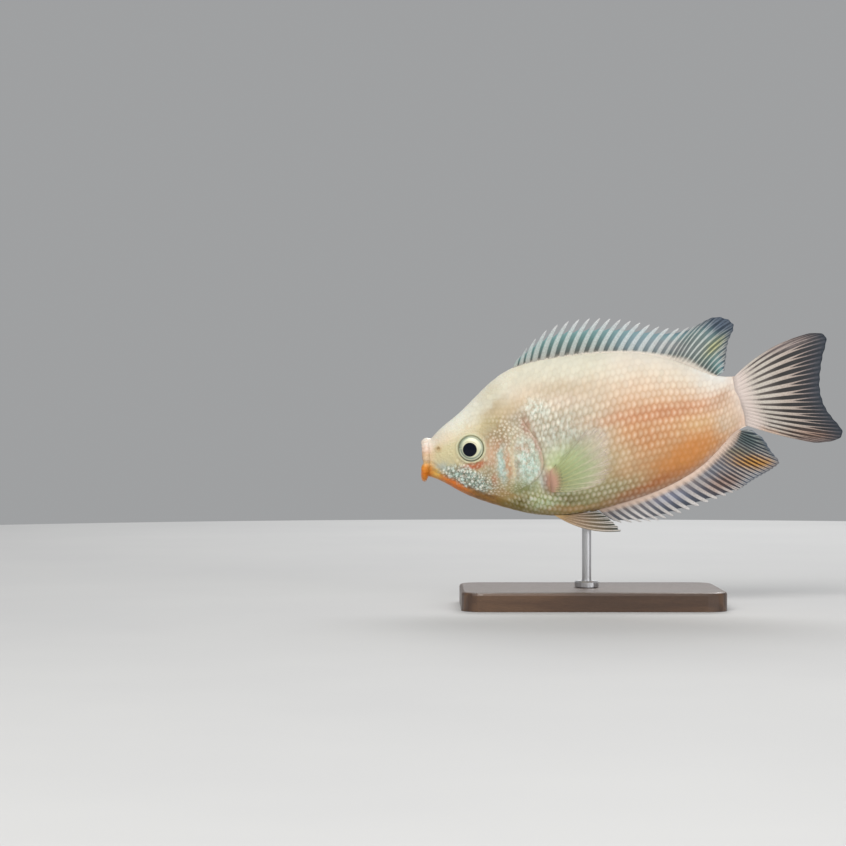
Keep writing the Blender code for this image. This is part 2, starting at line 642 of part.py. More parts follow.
def make_stand():
    work = bmesh.new()
    size = Matrix.Diagonal((BASE_LENGTH, BASE_WIDTH, BASE_HEIGHT, 1.0))
    bmesh.ops.create_cube(work, size=1.0, matrix=Matrix.Translation((STAND_X, 0, BASE_HEIGHT / 2)) @ size)
    upright = [e for e in work.edges if abs(e.verts[0].co.z - e.verts[1].co.z) > BASE_HEIGHT / 2]
    bmesh.ops.bevel(work, geom=upright, offset=BASE_CORNER, segments=6, profile=0.5, affect="EDGES")
    rim = [e for e in work.edges if min(v.co.z for v in e.verts) > BASE_HEIGHT - GAP]
    bmesh.ops.bevel(work, geom=rim, offset=BASE_EDGE, segments=2, profile=0.5, affect="EDGES")
    mesh = bpy.data.meshes.new("stand_base")
    work.to_mesh(mesh)
    work.free()
    base = bpy.data.objects.new("stand_base", mesh)
    bpy.context.scene.collection.objects.link(base)

    at_rod = Matrix.Translation((ROD_X, 0.0, 0.0))
    hole_floor = BASE_HEIGHT - ROD_INTO_BASE - GAP
    hole = [(ROD_RADIUS + GAP, hole_floor), (ROD_RADIUS + GAP, BASE_HEIGHT + 0.004)]
    combine(base, turned("base_cutter", "stand_metal", hole, ROD_SIDES, at_rod), "DIFFERENCE")
    finish_object(base, "stand_wood")

    rod = [(ROD_RADIUS, BASE_HEIGHT - ROD_INTO_BASE), (ROD_RADIUS, belly_z(ROD_X) + ROD_INTO_BODY)]
    turned("stand_rod", "stand_metal", rod, ROD_SIDES, at_rod)
    foot, head = BASE_HEIGHT + GAP, BASE_HEIGHT + GAP + COLLAR_HEIGHT
    ring = [(COLLAR_RADIUS, foot), (COLLAR_RADIUS, head - COLLAR_EDGE), (COLLAR_RADIUS - COLLAR_EDGE, head)]
    collar = turned("stand_collar", "stand_metal", ring, ROD_SIDES, at_rod)
    bore = [(ROD_RADIUS + GAP, 0.0), (ROD_RADIUS + GAP, head + 0.004)]
    combine(collar, turned("collar_cutter", "stand_metal", bore, ROD_SIDES, at_rod), "DIFFERENCE")
    finish_object(collar, "stand_metal")


def main():
    for old in list(bpy.data.objects):
        bpy.data.objects.remove(old)
    make_head()
    make_trunk()
    make_fins()
    make_stand()


main()
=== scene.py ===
"""The looks of a life-size kissing gourami on its display stand.

One skin covers the body from the lips to the tail fin, with scale plates over it. The skin, the scales and
the fins are built from the same named curves as the solids, in metres, finer and with their markings.
"""

import math

import bpy
import numpy as np
from mathutils import Matrix, Vector

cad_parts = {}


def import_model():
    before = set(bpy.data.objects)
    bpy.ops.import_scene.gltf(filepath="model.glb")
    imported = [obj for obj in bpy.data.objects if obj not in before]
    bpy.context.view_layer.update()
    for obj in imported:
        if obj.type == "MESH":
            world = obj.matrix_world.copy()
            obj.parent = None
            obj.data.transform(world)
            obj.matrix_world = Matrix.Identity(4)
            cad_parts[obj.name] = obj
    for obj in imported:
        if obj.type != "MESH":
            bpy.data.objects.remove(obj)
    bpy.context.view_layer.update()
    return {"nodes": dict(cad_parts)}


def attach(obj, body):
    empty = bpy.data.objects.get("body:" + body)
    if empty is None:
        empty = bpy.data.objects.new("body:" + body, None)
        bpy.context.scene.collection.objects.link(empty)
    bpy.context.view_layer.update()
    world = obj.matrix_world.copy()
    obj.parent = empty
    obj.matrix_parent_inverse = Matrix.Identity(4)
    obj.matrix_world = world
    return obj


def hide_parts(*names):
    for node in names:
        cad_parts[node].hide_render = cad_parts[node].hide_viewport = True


MM = 0.001
MOUTH_X = -0.091
SNOUT_X = -0.0867

# Outline of the body without its fins, as (x, z)
BACK_LINE = [
    (-0.0867, 0.0724), (-0.0839, 0.0755), (-0.0759, 0.0823), (-0.069, 0.089), (-0.0621, 0.0958),
    (-0.0543, 0.1015), (-0.0439, 0.1052), (-0.0254, 0.1084), (-0.006, 0.1096), (0.0148, 0.1071),
    (0.028, 0.1023), (0.0368, 0.0994), (0.0446, 0.0992), (0.051, 0.1002),
]
BELLY_LINE = [
    (-0.0867, 0.0555), (-0.0828, 0.054), (-0.074, 0.0492), (-0.0621, 0.0445), (-0.0483, 0.0406),
    (-0.0344, 0.0388), (-0.0198, 0.04), (-0.0051, 0.0438), (0.01, 0.0488), (0.024, 0.0556),
    (0.0346, 0.0636), (0.042, 0.0714), (0.0465, 0.0758), (0.051, 0.078),
]
# Half the body's thickness, where it is thickest as a share of the depth, and how keel-like its edges are
FLANK_WIDTH = [
    (-0.0867, 0.005), (-0.08, 0.0068), (-0.0696, 0.0094), (-0.056, 0.0119), (-0.04, 0.0133),
    (-0.024, 0.0134), (-0.006, 0.0122), (0.01, 0.0101), (0.026, 0.007), (0.038, 0.0044),
    (0.051, 0.0025),
]
WIDEST_SHARE = [
    (-0.0867, 0.5), (-0.0696, 0.48), (-0.045, 0.42), (-0.02, 0.45), (0.015, 0.52), (0.051, 0.52),
]
BACK_KEEL = [(-0.0867, 0.5), (-0.0696, 0.62), (-0.045, 0.68), (0.015, 0.66), (0.051, 0.6)]
BELLY_KEEL = [(-0.0867, 0.5), (-0.06, 0.54), (-0.03, 0.5), (0.005, 0.6), (0.051, 0.6)]

# The gill cover's rear edge and the tail fin's seat, as (z, x)
GILL_SEAM = [
    (0.041, -0.059), (0.045, -0.0562), (0.0478, -0.0532), (0.0508, -0.0478), (0.0534, -0.0433),
    (0.0568, -0.0401), (0.0607, -0.0388), (0.0659, -0.0394), (0.0711, -0.0416), (0.0763, -0.0452),
    (0.0819, -0.0487), (0.0909, -0.0521), (0.1026, -0.0556),
]
GILL_FRONT = [(0.0496, -0.052), (0.054, -0.0529), (0.0672, -0.0534), (0.0758, -0.0529), (0.0816, -0.0512)]
FIN_SEAM = [(0.0776, 0.0503), (0.081, 0.05), (0.086, 0.0486), (0.092, 0.0462), (0.0991, 0.0446)]

# Furrows of the head's side, as (step, x, z), and how deep and wide each is
CHEEK_FURROW = [
    (0, -0.058, 0.0806), (1, -0.0591, 0.0752), (2, -0.06, 0.069), (3, -0.0606, 0.0628),
    (4, -0.0617, 0.057), (5, -0.065, 0.0524), (6, -0.07, 0.0505),
]
JAW_FURROW = [
    (0, -0.0858, 0.058), (1, -0.0815, 0.056), (2, -0.076, 0.0535), (3, -0.069, 0.05),
    (4, -0.06, 0.0462),
]
CHIN_FURROW = [(0, -0.0866, 0.0618), (1, -0.0846, 0.0606), (2, -0.0828, 0.0586)]
ORBIT_FURROW = [
    (0, -0.079, 0.064), (1, -0.0762, 0.0604), (2, -0.0715, 0.0588), (3, -0.0665, 0.0594),
    (4, -0.0628, 0.0622),
]

EYE = Vector((-0.0696, 0.0, 0.068))
EYE_RADIUS = 0.0054
EYE_BULGE = 0.0014
EYE_TURN = math.radians(11.0)
PUPIL_SHIFT = Vector((-0.0005, -0.0005))
NOSTRIL = (-0.0837, 0.0678)
PECTORAL_PAD = (-0.0357, 0.0542)

LIP_CENTRE_Z = 0.0631
LIP_RING_WIDTH, LIP_RING_HEIGHT = 0.0036, 0.0071
LIP_THICKNESS = 0.0023
LIP_FOLDS = 30
# Half the mouth's opening, and its inside as (depth, share of the opening)
MOUTH_WIDTH, MOUTH_HEIGHT = 0.0016, 0.0044
MOUTH_INSIDE = ((0.0006, 0.96), (0.0018, 1.0), (0.0032, 0.92), (0.0044, 0.7), (0.005, 0.35))
MOUTH_CORNER = math.radians(102.0)

COAT_DEPTH = 0.0002
SOCKET_DEPTH = 0.0017
# The rim and the dip round the eye, as (height, radius, width)
EYE_RINGS = ((0.00042, 0.0061, 0.0005), (-0.00016, 0.0073, 0.00045))
NOSTRIL_DEPTH = 0.00055
GILL_STEP, GILL_FURROW = 0.0004, 0.00022
PAD_HEIGHT = 0.0012
# The furrows of the head, as (curve, depth, width)
FURROWS = (
    (CHEEK_FURROW, 0.00036, 0.0006), (JAW_FURROW, 0.00024, 0.00065),
    (CHIN_FURROW, 0.00016, 0.0005), (ORBIT_FURROW, 0.00014, 0.00055),
)

# Points round the skin and rings along it
RING = 256
HEAD_RINGS, TRUNK_RINGS = 170, 205
TRUNK_SHARE = np.concatenate([[0.0008, 0.003, 0.006], np.linspace(0.01, 1, TRUNK_RINGS - 3)])


def smooth_curve(knots):
    """A natural cubic spline through (parameter, value or values) knots, straight beyond its ends."""
    table = np.array(knots, float)
    at, value = table[:, 0], table[:, 1:]
    count = len(at)
    system, right = np.eye(count), np.zeros_like(value)
    for i in range(1, count - 1):
        before, after = at[i] - at[i - 1], at[i + 1] - at[i]
        system[i, i - 1:i + 2] = before, 2 * (before + after), after
        right[i] = 6 * ((value[i + 1] - value[i]) / after - (value[i] - value[i - 1]) / before)
    bend = np.linalg.solve(system, right)
    first, last = at[1] - at[0], at[-1] - at[-2]
    slope_in = (value[1] - value[0]) / first - first * bend[1] / 6
    slope_out = (value[-1] - value[-2]) / last + last * bend[-2] / 6

    def evaluate(t):
        t = np.asarray(t, float)[..., None]
        inside = np.clip(t, at[0], at[-1])
        i = np.clip(np.searchsorted(at, inside[..., 0], side="right") - 1, 0, count - 2)
        h = (at[i + 1] - at[i])[..., None]
        a = (at[i + 1][..., None] - inside) / h
        b = 1 - a
        curved = ((a ** 3 - a) * bend[i] + (b ** 3 - b) * bend[i + 1]) * h * h / 6
        result = a * value[i] + b * value[i + 1] + curved
        result = result + slope_in * np.minimum(t - at[0], 0) + slope_out * np.maximum(t - at[-1], 0)
        return result[..., 0] if value.shape[1] == 1 else result

    return evaluate


back_z, belly_z, flank_width = map(smooth_curve, (BACK_LINE, BELLY_LINE, FLANK_WIDTH))
widest_share, back_keel, belly_keel = map(smooth_curve, (WIDEST_SHARE, BACK_KEEL, BELLY_KEEL))
gill_seam, gill_front, fin_seam = map(smooth_curve, (GILL_SEAM, GILL_FRONT, FIN_SEAM))


def widest_z(x):
    return belly_z(x) + widest_share(x) * (back_z(x) - belly_z(x))


def height_at(x, level):
    middle = widest_z(x)
    return middle + level * np.where(level > 0, back_z(x) - middle, middle - belly_z(x))


def half_width(x, level):
    keel = np.where(level > 0, back_keel(x), belly_keel(x))
    return flank_width(x) * np.clip(1 - level * level, 0, 1) ** keel


def flank_y(x, z):
    middle = widest_z(x)
    level = (z - middle) / np.where(z > middle, back_z(x) - middle, middle - belly_z(x))
    return half_width(x, np.clip(level, -1, 1))


def on_line(line, level):
    """Where a line across the body, an x for each z, crosses a level from -1, the belly, to 1, the back."""
    x = np.full(np.shape(level), float(line(0.07)))
    for _ in range(24):
        x = line(height_at(x, level))
    return x


def ease(value, low, high):
    """0 below low, 1 above high and smooth between them."""
    t = np.clip((value - low) / (high - low), 0, 1)
    return t * t * (3 - 2 * t)


def bell(value, middle, width):
    return np.exp(-((value - middle) / width) ** 2)


def distance_to(curve_knots, x, z):
    """How far points of the side view are from a curve, in metres."""
    line = smooth_curve(curve_knots)(np.linspace(0, curve_knots[-1][0], 40))
    best = np.full(x.shape, 1.0)
    for (ax, az), (bx, bz) in zip(line[:-1], line[1:]):
        dx, dz = bx - ax, bz - az
        t = np.clip(((x - ax) * dx + (z - az) * dz) / (dx * dx + dz * dz), 0, 1)
        best = np.minimum(best, np.hypot(x - ax - t * dx, z - az - t * dz))
    return best


def grid_faces(rows, columns, closed=False, first=0):
    """Quads of a grid of points stored row by row; closed joins the last column to the first."""
    a = np.arange(rows - 1)[:, None] * columns + np.arange(columns if closed else columns - 1)[None, :]
    b = a + 1
    if closed:
        b = np.arange(rows - 1)[:, None] * columns + (np.arange(columns)[None, :] + 1) % columns
    return (np.stack([a, b, b + columns, a + columns], -1).reshape(-1, 4) + first).tolist()


def new_piece(name, points, faces, material, values=None, stands_for=(), sharp=None):
    """A mesh object that rides on the model, with numbers per point for its material to read."""
    mesh = bpy.data.meshes.new(name)
    mesh.from_pydata(np.asarray(points).reshape(-1, 3).tolist(), [], faces)
    for key, numbers in (values or {}).items():
        layer = mesh.attributes.new(key, "FLOAT", "POINT")
        layer.data.foreach_set("value", np.asarray(numbers, np.float32).ravel())
    mesh.materials.append(material)
    mesh.shade_smooth()
    if sharp:
        mesh.set_sharp_from_angle(angle=math.radians(sharp))
    made = bpy.data.objects.new(name, mesh)
    bpy.context.scene.collection.objects.link(made)
    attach(made, "root")
    if stands_for:
        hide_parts(*stands_for)
    return made


def surface_normals(grid):
    """Outward unit normals of a closed-ring grid of points (ring, step around, 3)."""
    along = np.gradient(grid, axis=0)
    around = np.roll(grid, -1, axis=1) - np.roll(grid, 1, axis=1)
    normal = np.cross(along, around)
    length = np.linalg.norm(normal, axis=-1, keepdims=True)
    normal = normal / np.maximum(length, 1e-15)
    outward = np.sign((normal[:, RING // 4, 1]).mean()) * -1
    return normal * outward


# The skin


def skin_rings():
    """The body's plain surface as rings of points, and what each point's ring and level are."""
    turn = 2 * np.pi * np.arange(RING) / RING
    level = -np.cos(turn)
    seam, end = on_line(gill_seam, level), on_line(fin_seam, level)
    head_share = np.linspace(0, 1, HEAD_RINGS)[:, None]
    trunk_share = TRUNK_SHARE[:, None]
    x = np.concatenate([SNOUT_X + (seam - SNOUT_X) * head_share, seam + (end - seam) * trunk_share])
    levels = np.broadcast_to(level, x.shape)
    side = -np.sign(np.round(np.sin(turn), 9))
    y = side * half_width(x, levels)
    closing = np.concatenate([np.zeros(HEAD_RINGS), trunk_share[:, 0]])[:, None]
    thin = 0.76 * ease(closing, 0.8, 1.02) ** 1.3
    y = y * (1 - thin) * (1 - 0.55 * ease(closing, 0.984, 1.0))
    points = np.stack([x, y, height_at(x, levels)], -1)
    return points, levels, x - seam, end - x


def pad_reach(x, z):
    """How far a place is from the middle of the pectoral fin's fleshy base, where 1 is its edge."""
    lean = math.radians(12)
    a = (x - PECTORAL_PAD[0]) * math.cos(lean) + (z - PECTORAL_PAD[1]) * math.sin(lean)
    b = (z - PECTORAL_PAD[1]) * math.cos(lean) - (x - PECTORAL_PAD[0]) * math.sin(lean)
    return np.hypot(a / 0.0031, b / 0.0054)


def relief(x, z, behind):
    """How far the skin's forms rise over or sink under the plain surface, in metres."""
    out = np.full(x.shape, -COAT_DEPTH)
    reach = np.hypot(x - EYE.x, z - EYE.z)
    out -= SOCKET_DEPTH * (1 - ease(reach, 0.0047, 0.0056))
    for height, radius, width in EYE_RINGS:
        out += height * bell(reach, radius, width)

    nostril = np.hypot(x - NOSTRIL[0], z - NOSTRIL[1])
    out += 0.00014 * bell(nostril, 0.00115, 0.0004)
    out -= NOSTRIL_DEPTH * (1 - ease(nostril, 0.00015, 0.0009))

    cover = ease(z, 0.05, 0.064) * (1 - ease(z, 0.078, 0.084))
    across = np.clip((x - gill_front(z)) / (x - behind - gill_front(z)), 0, 1) * (x > gill_front(z))
    on_head = behind <= 1e-9
    step_down = -GILL_STEP * cover * np.exp(-behind / 0.0018)
    out += np.where(on_head, 0.00036 * cover * ease(across, 0.1, 1.0), step_down)
    out -= GILL_FURROW * cover * bell(x, gill_front(z), 0.00045) * on_head

    for curve, depth, width in FURROWS:
        away = distance_to(curve, x, z)
        out -= depth * bell(away, 0, width)
        out += 0.35 * depth * bell(away, 2.2 * width, width)

    pad = pad_reach(x, z)
    out += PAD_HEIGHT * np.exp(-pad ** 3) - 0.0003 * bell(pad, 1.25, 0.16) * (x < PECTORAL_PAD[0])
    out += 0.00005 * np.sin(900 * x + 500 * z) * np.sin(700 * z - 300 * x) * ease(behind, -0.03, 0.0)
    return out


def lip_rings(snout):
    """Rings that go on from the snout's edge: the groove behind the lips, the lips and the mouth's inside."""
    turn = 2 * np.pi * np.arange(RING) / RING
    across, up = -np.sin(turn), -np.cos(turn)
    plain = np.arctan2(np.abs(across), up)
    corner = bell(plain, MOUTH_CORNER, 0.15)
    lower = ease(plain, math.radians(88), math.radians(124))
    normal = np.stack([across / LIP_RING_WIDTH, up / LIP_RING_HEIGHT], -1)
    normal /= np.linalg.norm(normal, axis=-1, keepdims=True)
    folds = 0.7 * np.cos(LIP_FOLDS * plain * (1 + 0.04 * np.sin(3 * plain))) + 0.5 * np.cos(17 * plain + 1.0)
    beside = 1 - up ** 2
    rear = SNOUT_X - 0.0001 - 0.0012 * lower * (1 - 0.9 * beside)
    front_x = MOUTH_X + 0.0001 + 0.0007 * corner + 0.00045 * (1 - np.abs(up)) * (1 - lower)
    centre_x = -0.0883 - 0.0012 * lower
    middle = np.array([0.0, snout[:, 2].mean()])
    rings = []
    for share in (0.0, 0.35, 0.7):
        scale = 0.97 + 0.028 * share + 0.02 * (1 - lower) * (1 - share)
        outline = middle + (snout[:, 1:] - middle) * scale[:, None]
        x = rear + (SNOUT_X - rear) * (0.12 + 0.85 * share)
        rings.insert(0, np.concatenate([x[:, None], outline], axis=1))
    for step in np.linspace(-80, 236, 32):
        phase = math.radians(step)
        front = max(0.0, math.sin(phase))
        crease = 1 + 0.045 * folds * (0.3 + 0.7 * front)
        thickness = LIP_THICKNESS * crease * (1 - 0.3 * corner) * (1 + 0.05 * lower)
        reach = centre_x - front_x if step > 0 else rear - centre_x
        flush = (0.9 - 0.35 * beside) * (1 - lower) + 0.38 * lower if step < 0 else -1.0
        outward = np.maximum(math.cos(phase), flush)
        y = LIP_RING_WIDTH * across + normal[:, 0] * thickness * outward
        z = LIP_CENTRE_Z + LIP_RING_HEIGHT * up + normal[:, 1] * thickness * outward
        x = centre_x - reach * math.sin(phase) * (1 + 0.03 * (folds - 1) * front)
        rings.append(np.stack([x, y, z], -1))
    for depth, spread in MOUTH_INSIDE:
        y, z = MOUTH_WIDTH * spread * across, LIP_CENTRE_Z + MOUTH_HEIGHT * spread * up
        rings.append(np.stack([np.full(RING, SNOUT_X + depth), y, z], -1))
    return np.array(rings[::-1]), folds


def make_skin(material):
    plain, level, behind, ahead = skin_rings()
    normal = surface_normals(plain)
    rise = relief(plain[..., 0], plain[..., 2], behind)
    body = plain + normal * rise[..., None]
    lips, folds = lip_rings(body[0])
    points = np.concatenate([lips, body])

    def with_lips(on_lips, on_body):
        return np.concatenate([np.broadcast_to(on_lips, (len(lips), RING)), on_body])

    values = {
        "fold": with_lips(folds, np.zeros_like(level)), "level": with_lips(level[0], level),
        "behind": with_lips(behind[0], behind) / MM, "ahead": with_lips(ahead[0], ahead) / MM,
    }
    faces = grid_faces(len(points), RING, closed=True)
    faces.append(list(range(RING)))
    last = (len(points) - 1) * RING
    half = RING // 2
    for j in range(1, half - 1):
        faces.append([last + j, last + j + 1, last + RING - 1 - j, last + (RING - j) % RING])
    faces += [[last, last + 1, last + RING - 1], [last + half, last + half - 1, last + half + 1]]
    new_piece(
        "skin", points, faces, material, values,
        ("head", "torso", "tail", "gill_cover_left", "gill_cover_right", "upper_lip", "lower_lip"),
    )
    return body, level[0], behind, ahead


# Scales


# How long a scale's shown part is, and how far its free edge stands up
TRUNK_PITCH, HEAD_PITCH = 0.00262, 0.00166
TRUNK_LIFT, HEAD_LIFT = 0.00018, 0.00016
# The size of each plate on the coat's map
UV_LENGTH, UV_HALF_WIDTH = 0.003, 0.0015


class Flank:
    """Rows and columns of scales over part of the left flank, from the rings of the skin.

    A column is as long as a scale's shown part, and a row is twice as high as the step between rows.
    """

    def __init__(self, body, first, last, pitch, shape, taper):
        half = RING // 2
        self.first = first
        self.points = body[first:last + 1, :half + 1]
        self.normals = surface_normals(body)[first:last + 1, :half + 1]
        middle = self.points[:, RING // 4]
        self.middle_x = middle[:, 0]
        level = -np.cos(2 * np.pi * np.arange(half + 1) / RING)
        self.seam, self.end = on_line(gill_seam, level), on_line(fin_seam, level)
        depth = self.points[:, half, 2] - self.points[:, 0, 2]
        self.size = pitch * (depth / depth.max()) ** taper
        if taper:
            self.size *= 0.78 + 0.22 * ease(middle[:, 0], -0.048, -0.012)
        steps = np.linalg.norm(np.diff(middle, axis=0), axis=1) / ((self.size[1:] + self.size[:-1]) / 2)
        self.columns = np.concatenate([[0], np.cumsum(steps)])
        along = np.linalg.norm(np.diff(self.points, axis=1), axis=2)
        arc = np.concatenate([np.zeros((len(middle), 1)), np.cumsum(along, axis=1)], axis=1)
        self.rows = (arc - arc[:, RING // 4][:, None]) / (shape * self.size[:, None])
        self.fine = np.linspace(self.rows.min(), self.rows.max(), 600)
        steps = np.arange(half + 1)
        self.table = np.array([np.interp(self.fine, row, steps) for row in self.rows])

    def locate(self, column, row):
        """The ring and the step around it of a place among the scales, both with fractions."""
        x = np.interp(column, self.columns, self.middle_x)
        at = (row - self.fine[0]) / (self.fine[1] - self.fine[0])
        start = np.clip(at.astype(int), 0, len(self.fine) - 2)
        rest = np.clip(at - start, 0, 1)

        def value(ring):
            return self.table[ring, start] * (1 - rest) + self.table[ring, start + 1] * rest

        step = np.full(np.broadcast(x, row).shape, RING / 4.0)
        for _ in range(4):
            ring = self.ring_at(x, step)
            low = np.clip(ring.astype(int), 0, len(self.columns) - 2)
            part = ring - low
            step = value(low) * (1 - part) + value(low + 1) * part
        return ring, step

    def ring_at(self, x, step):
        """The ring that passes through x at a step around, so that the columns of scales stand upright."""
        steps = np.arange(RING // 2 + 1)
        seam, end = np.interp(step, steps, self.seam), np.interp(step, steps, self.end)
        on_head = (x - SNOUT_X) / (seam - SNOUT_X) * (HEAD_RINGS - 1)
        on_trunk = HEAD_RINGS + np.interp((x - seam) / (end - seam), TRUNK_SHARE, np.arange(TRUNK_RINGS))
        return np.clip(np.where(x < seam, on_head, on_trunk) - self.first, 0, len(self.columns) - 1.001)

    def sample(self, table, ring, step):
        i = np.clip(ring.astype(int), 0, table.shape[0] - 2)
        j = np.clip(step.astype(int), 0, table.shape[1] - 2)
        u, v = ring - i, step - j
        if table.ndim == 3:
            u, v = u[..., None], v[..., None]
        near = table[i, j] * (1 - v) + table[i, j + 1] * v
        far = table[i + 1, j] * (1 - v) + table[i + 1, j + 1] * v
        return near * (1 - u) + far * u

    def edges(self, column):
        """The lowest and the highest row at a column."""
        ring = np.interp(column, self.columns, np.arange(len(self.columns))).astype(int)
        return self.rows[ring, 0], self.rows[ring, -1]


def scale_roots(flank, wanted, random, keel_gap, loose):
    """The places of the scales, in staggered rows, where wanted(points) is true."""
    roots = []
    for column in np.arange(0.3, flank.columns[-1] - 0.2, 0.5):
        low, high = flank.edges(column)
        odd = int(round((column - 0.3) * 2)) % 2
        rows = np.arange(math.ceil(low) - 1, math.floor(high) + 2) + 0.5 * odd
        rows = rows[(rows > low + keel_gap) & (rows < high - keel_gap)]
        roots += [(column, row) for row in rows]
    roots = np.array(roots)
    ring, step = flank.locate(roots[:, 0], roots[:, 1])
    keep = wanted(flank.sample(flank.points, ring, step), ring + flank.first)
    keep &= ring < len(flank.columns) - 3
    return roots[keep] + random.normal(0, loose, (int(keep.sum()), 2)) * (1.0, 0.6)


def make_scales(name, side, parts, level, behind, ahead, material):
    """One piece of scale plates. parts is a list of (flank, roots, length, width, lift)."""
    random = np.random.default_rng(31 if side < 0 else 47)
    wide, long = 9, 7
    a = np.linspace(-1, 1, wide)[None, :]
    t = np.linspace(0, 1, long)[:, None]
    reach = t * (1 - 0.42 * (1 - np.sqrt(1 - 0.96 * a * a)))
    spread = a * (0.86 + 0.14 * np.sin(np.pi * t))
    rim = [(row, 0) for row in range(long)] + [(long - 1, k) for k in range(1, wide)]
    rim += [(row, wide - 1) for row in range(long - 2, -1, -1)]
    rim_index = np.array([row * wide + k for row, k in rim])
    top_faces = np.array(grid_faces(long, wide))
    low = long * wide
    skirt = np.array([
        [rim_index[k], rim_index[k + 1], low + k + 1, low + k] for k in range(len(rim_index) - 1)
    ])
    single = np.concatenate([top_faces, skirt])
    size = low + len(rim_index)
    all_points, all_faces, all_uv = [], [], []
    values = {key: [] for key in ("level", "behind", "ahead", "chance", "across", "along")}
    start = 0
    for flank, roots, length, width, lift in parts:
        count = len(roots)
        grow = random.normal(1, 0.05, (count, 1, 1))
        column = roots[:, 0, None, None] - 0.35 + length * grow * reach
        row = roots[:, 1, None, None] + width * grow * spread
        ring, step = flank.locate(column, row)
        ring, step = np.clip(ring, 0, len(flank.columns) - 1.001), np.clip(step, 0.2, RING // 2 - 0.2)
        base, out = flank.sample(flank.points, ring, step), flank.sample(flank.normals, ring, step)
        calm = flatness(base[..., 0], base[..., 2])
        tilt = lift * random.normal(1, 0.14, (count, 1, 1))
        height = calm * (tilt * (-0.3 + 1.0 * t) - 0.35 * lift * a * a) + 0.02 * MM
        top = (base + out * height[..., None]).reshape(count, low, 3)
        lower = height.reshape(count, low)[:, rim_index] - 0.75 * lift
        rim_base = base.reshape(count, low, 3)[:, rim_index]
        rim_out = out.reshape(count, low, 3)[:, rim_index]
        bottom = rim_base + rim_out * lower[..., None]
        points = np.concatenate([top, bottom], axis=1)
        points[..., 1] *= -side
        all_points.append(points.reshape(-1, 3))
        order = single if side < 0 else single[:, ::-1]
        all_faces.append((order[None] + (start + size * np.arange(count))[:, None, None]).reshape(-1, 4))
        start += size * count

        def both(table):
            table = np.broadcast_to(table, (count, long, wide)).reshape(count, low)
            return np.concatenate([table, table[:, rim_index]], axis=1)

        place = both(step)
        whole = ring + flank.first
        values["level"].append(-np.cos(2 * np.pi * place / RING))
        values["behind"].append(both(flank.sample(behind, whole, step)) / MM)
        values["ahead"].append(both(flank.sample(ahead, whole, step)) / MM)
        values["chance"].append(np.broadcast_to(random.random((count, 1)), (count, size)))
        values["across"].append(both(np.broadcast_to(a, (long, wide))))
        values["along"].append(both(np.broadcast_to(t, (long, wide))))
        root_ring, root_step = flank.locate(roots[:, 0], roots[:, 1])
        u = 0.02 + 0.96 * (root_ring + flank.first) / len(behind)
        v = root_step / RING
        v = v if side < 0 else 1 - v
        u = u[:, None] + UV_LENGTH * (both(t * np.ones_like(a)) - 0.5)
        v = v[:, None] + UV_HALF_WIDTH * both(a)
        all_uv.append(np.stack([u, v], -1).reshape(-1, 2))
    faces = np.concatenate(all_faces)
    piece = new_piece(
        name, np.concatenate(all_points), faces.tolist(), material,
        {key: np.concatenate([v.ravel() for v in lists]) for key, lists in values.items()},
        sharp=50,
    )
    uv = piece.data.uv_layers.new(name="OFBake")
    uv.data.foreach_set("uv", np.concatenate(all_uv)[faces.ravel()].astype(np.float32).ravel())
    return piece


def flatness(x, z):
    """How far the scales stand up: 1 on the flank, little on the forehead, the breast and the tail's root."""
    front = ease(x, -0.074, -0.05) * ease(z, 0.08, 0.09)
    brow = 1 - 0.85 * ease(z, 0.06, 0.064) * (1 - ease(x, -0.0655, -0.059))
    side = (1 - ease(z, 0.076, 0.084)) * (0.25 + 0.75 * ease(x, -0.085, -0.081)) * brow
    rear = 1 - 0.7 * ease(x, 0.04, 0.052)
    throat = 0.3 + 0.7 * ease(z - belly_z(x), 0.0005, 0.004)
    depth = (z - belly_z(x)) / (back_z(x) - belly_z(x))
    back = 1 - 0.6 * ease(depth, 0.66, 0.88)
    return np.clip(np.where(x > -0.04, 1, np.maximum(front, side)), 0.12, 1) * rear * throat * back


def make_coat(skin, material):
    body, level, behind, ahead = skin
    trunk = Flank(body, 30, HEAD_RINGS + TRUNK_RINGS - 2, TRUNK_PITCH, shape=2.47, taper=0.28)
    cover = Flank(body, 9, HEAD_RINGS - 2, HEAD_PITCH, shape=2.08, taper=0.0)

    def under_cover(x, z):
        return z < 0.082 + 0.25 * (x + 0.048).clip(-1, 0)

    def on_trunk(points, ring):
        x, z = points[:, 0], points[:, 2]
        nape = ~under_cover(x, z) & (x > -0.072)
        return np.where(ring >= HEAD_RINGS, pad_reach(x, z) > 0.95, nape)

    def on_head(points, ring):
        x, z = points[:, 0], points[:, 2]
        from_eye = np.hypot(x - EYE.x, z - EYE.z)
        snout = (x < -0.077) & (z > 0.059 - 0.25 * (x + 0.077))
        brow = (z > 0.06) & (z > 0.0745 + 0.75 * (x + 0.063))
        jaw = z < 0.0572 - 0.44 * (x + 0.085)
        chest = z < 0.047
        return under_cover(x, z) & (from_eye > 0.0068) & ~snout & ~brow & ~jaw & ~chest & (x > -0.084)

    for side, tag in ((-1, "left"), (1, "right")):
        random = np.random.default_rng(5 + side)
        parts = [
            (trunk, scale_roots(trunk, on_trunk, random, 0.2, 0.03), 1.5, 0.36, TRUNK_LIFT),
            (cover, scale_roots(cover, on_head, random, 0.3, 0.2), 1.5, 0.37, HEAD_LIFT),
        ]
        make_scales("scales_" + tag, side, parts, level, behind, ahead, material)


# Fins


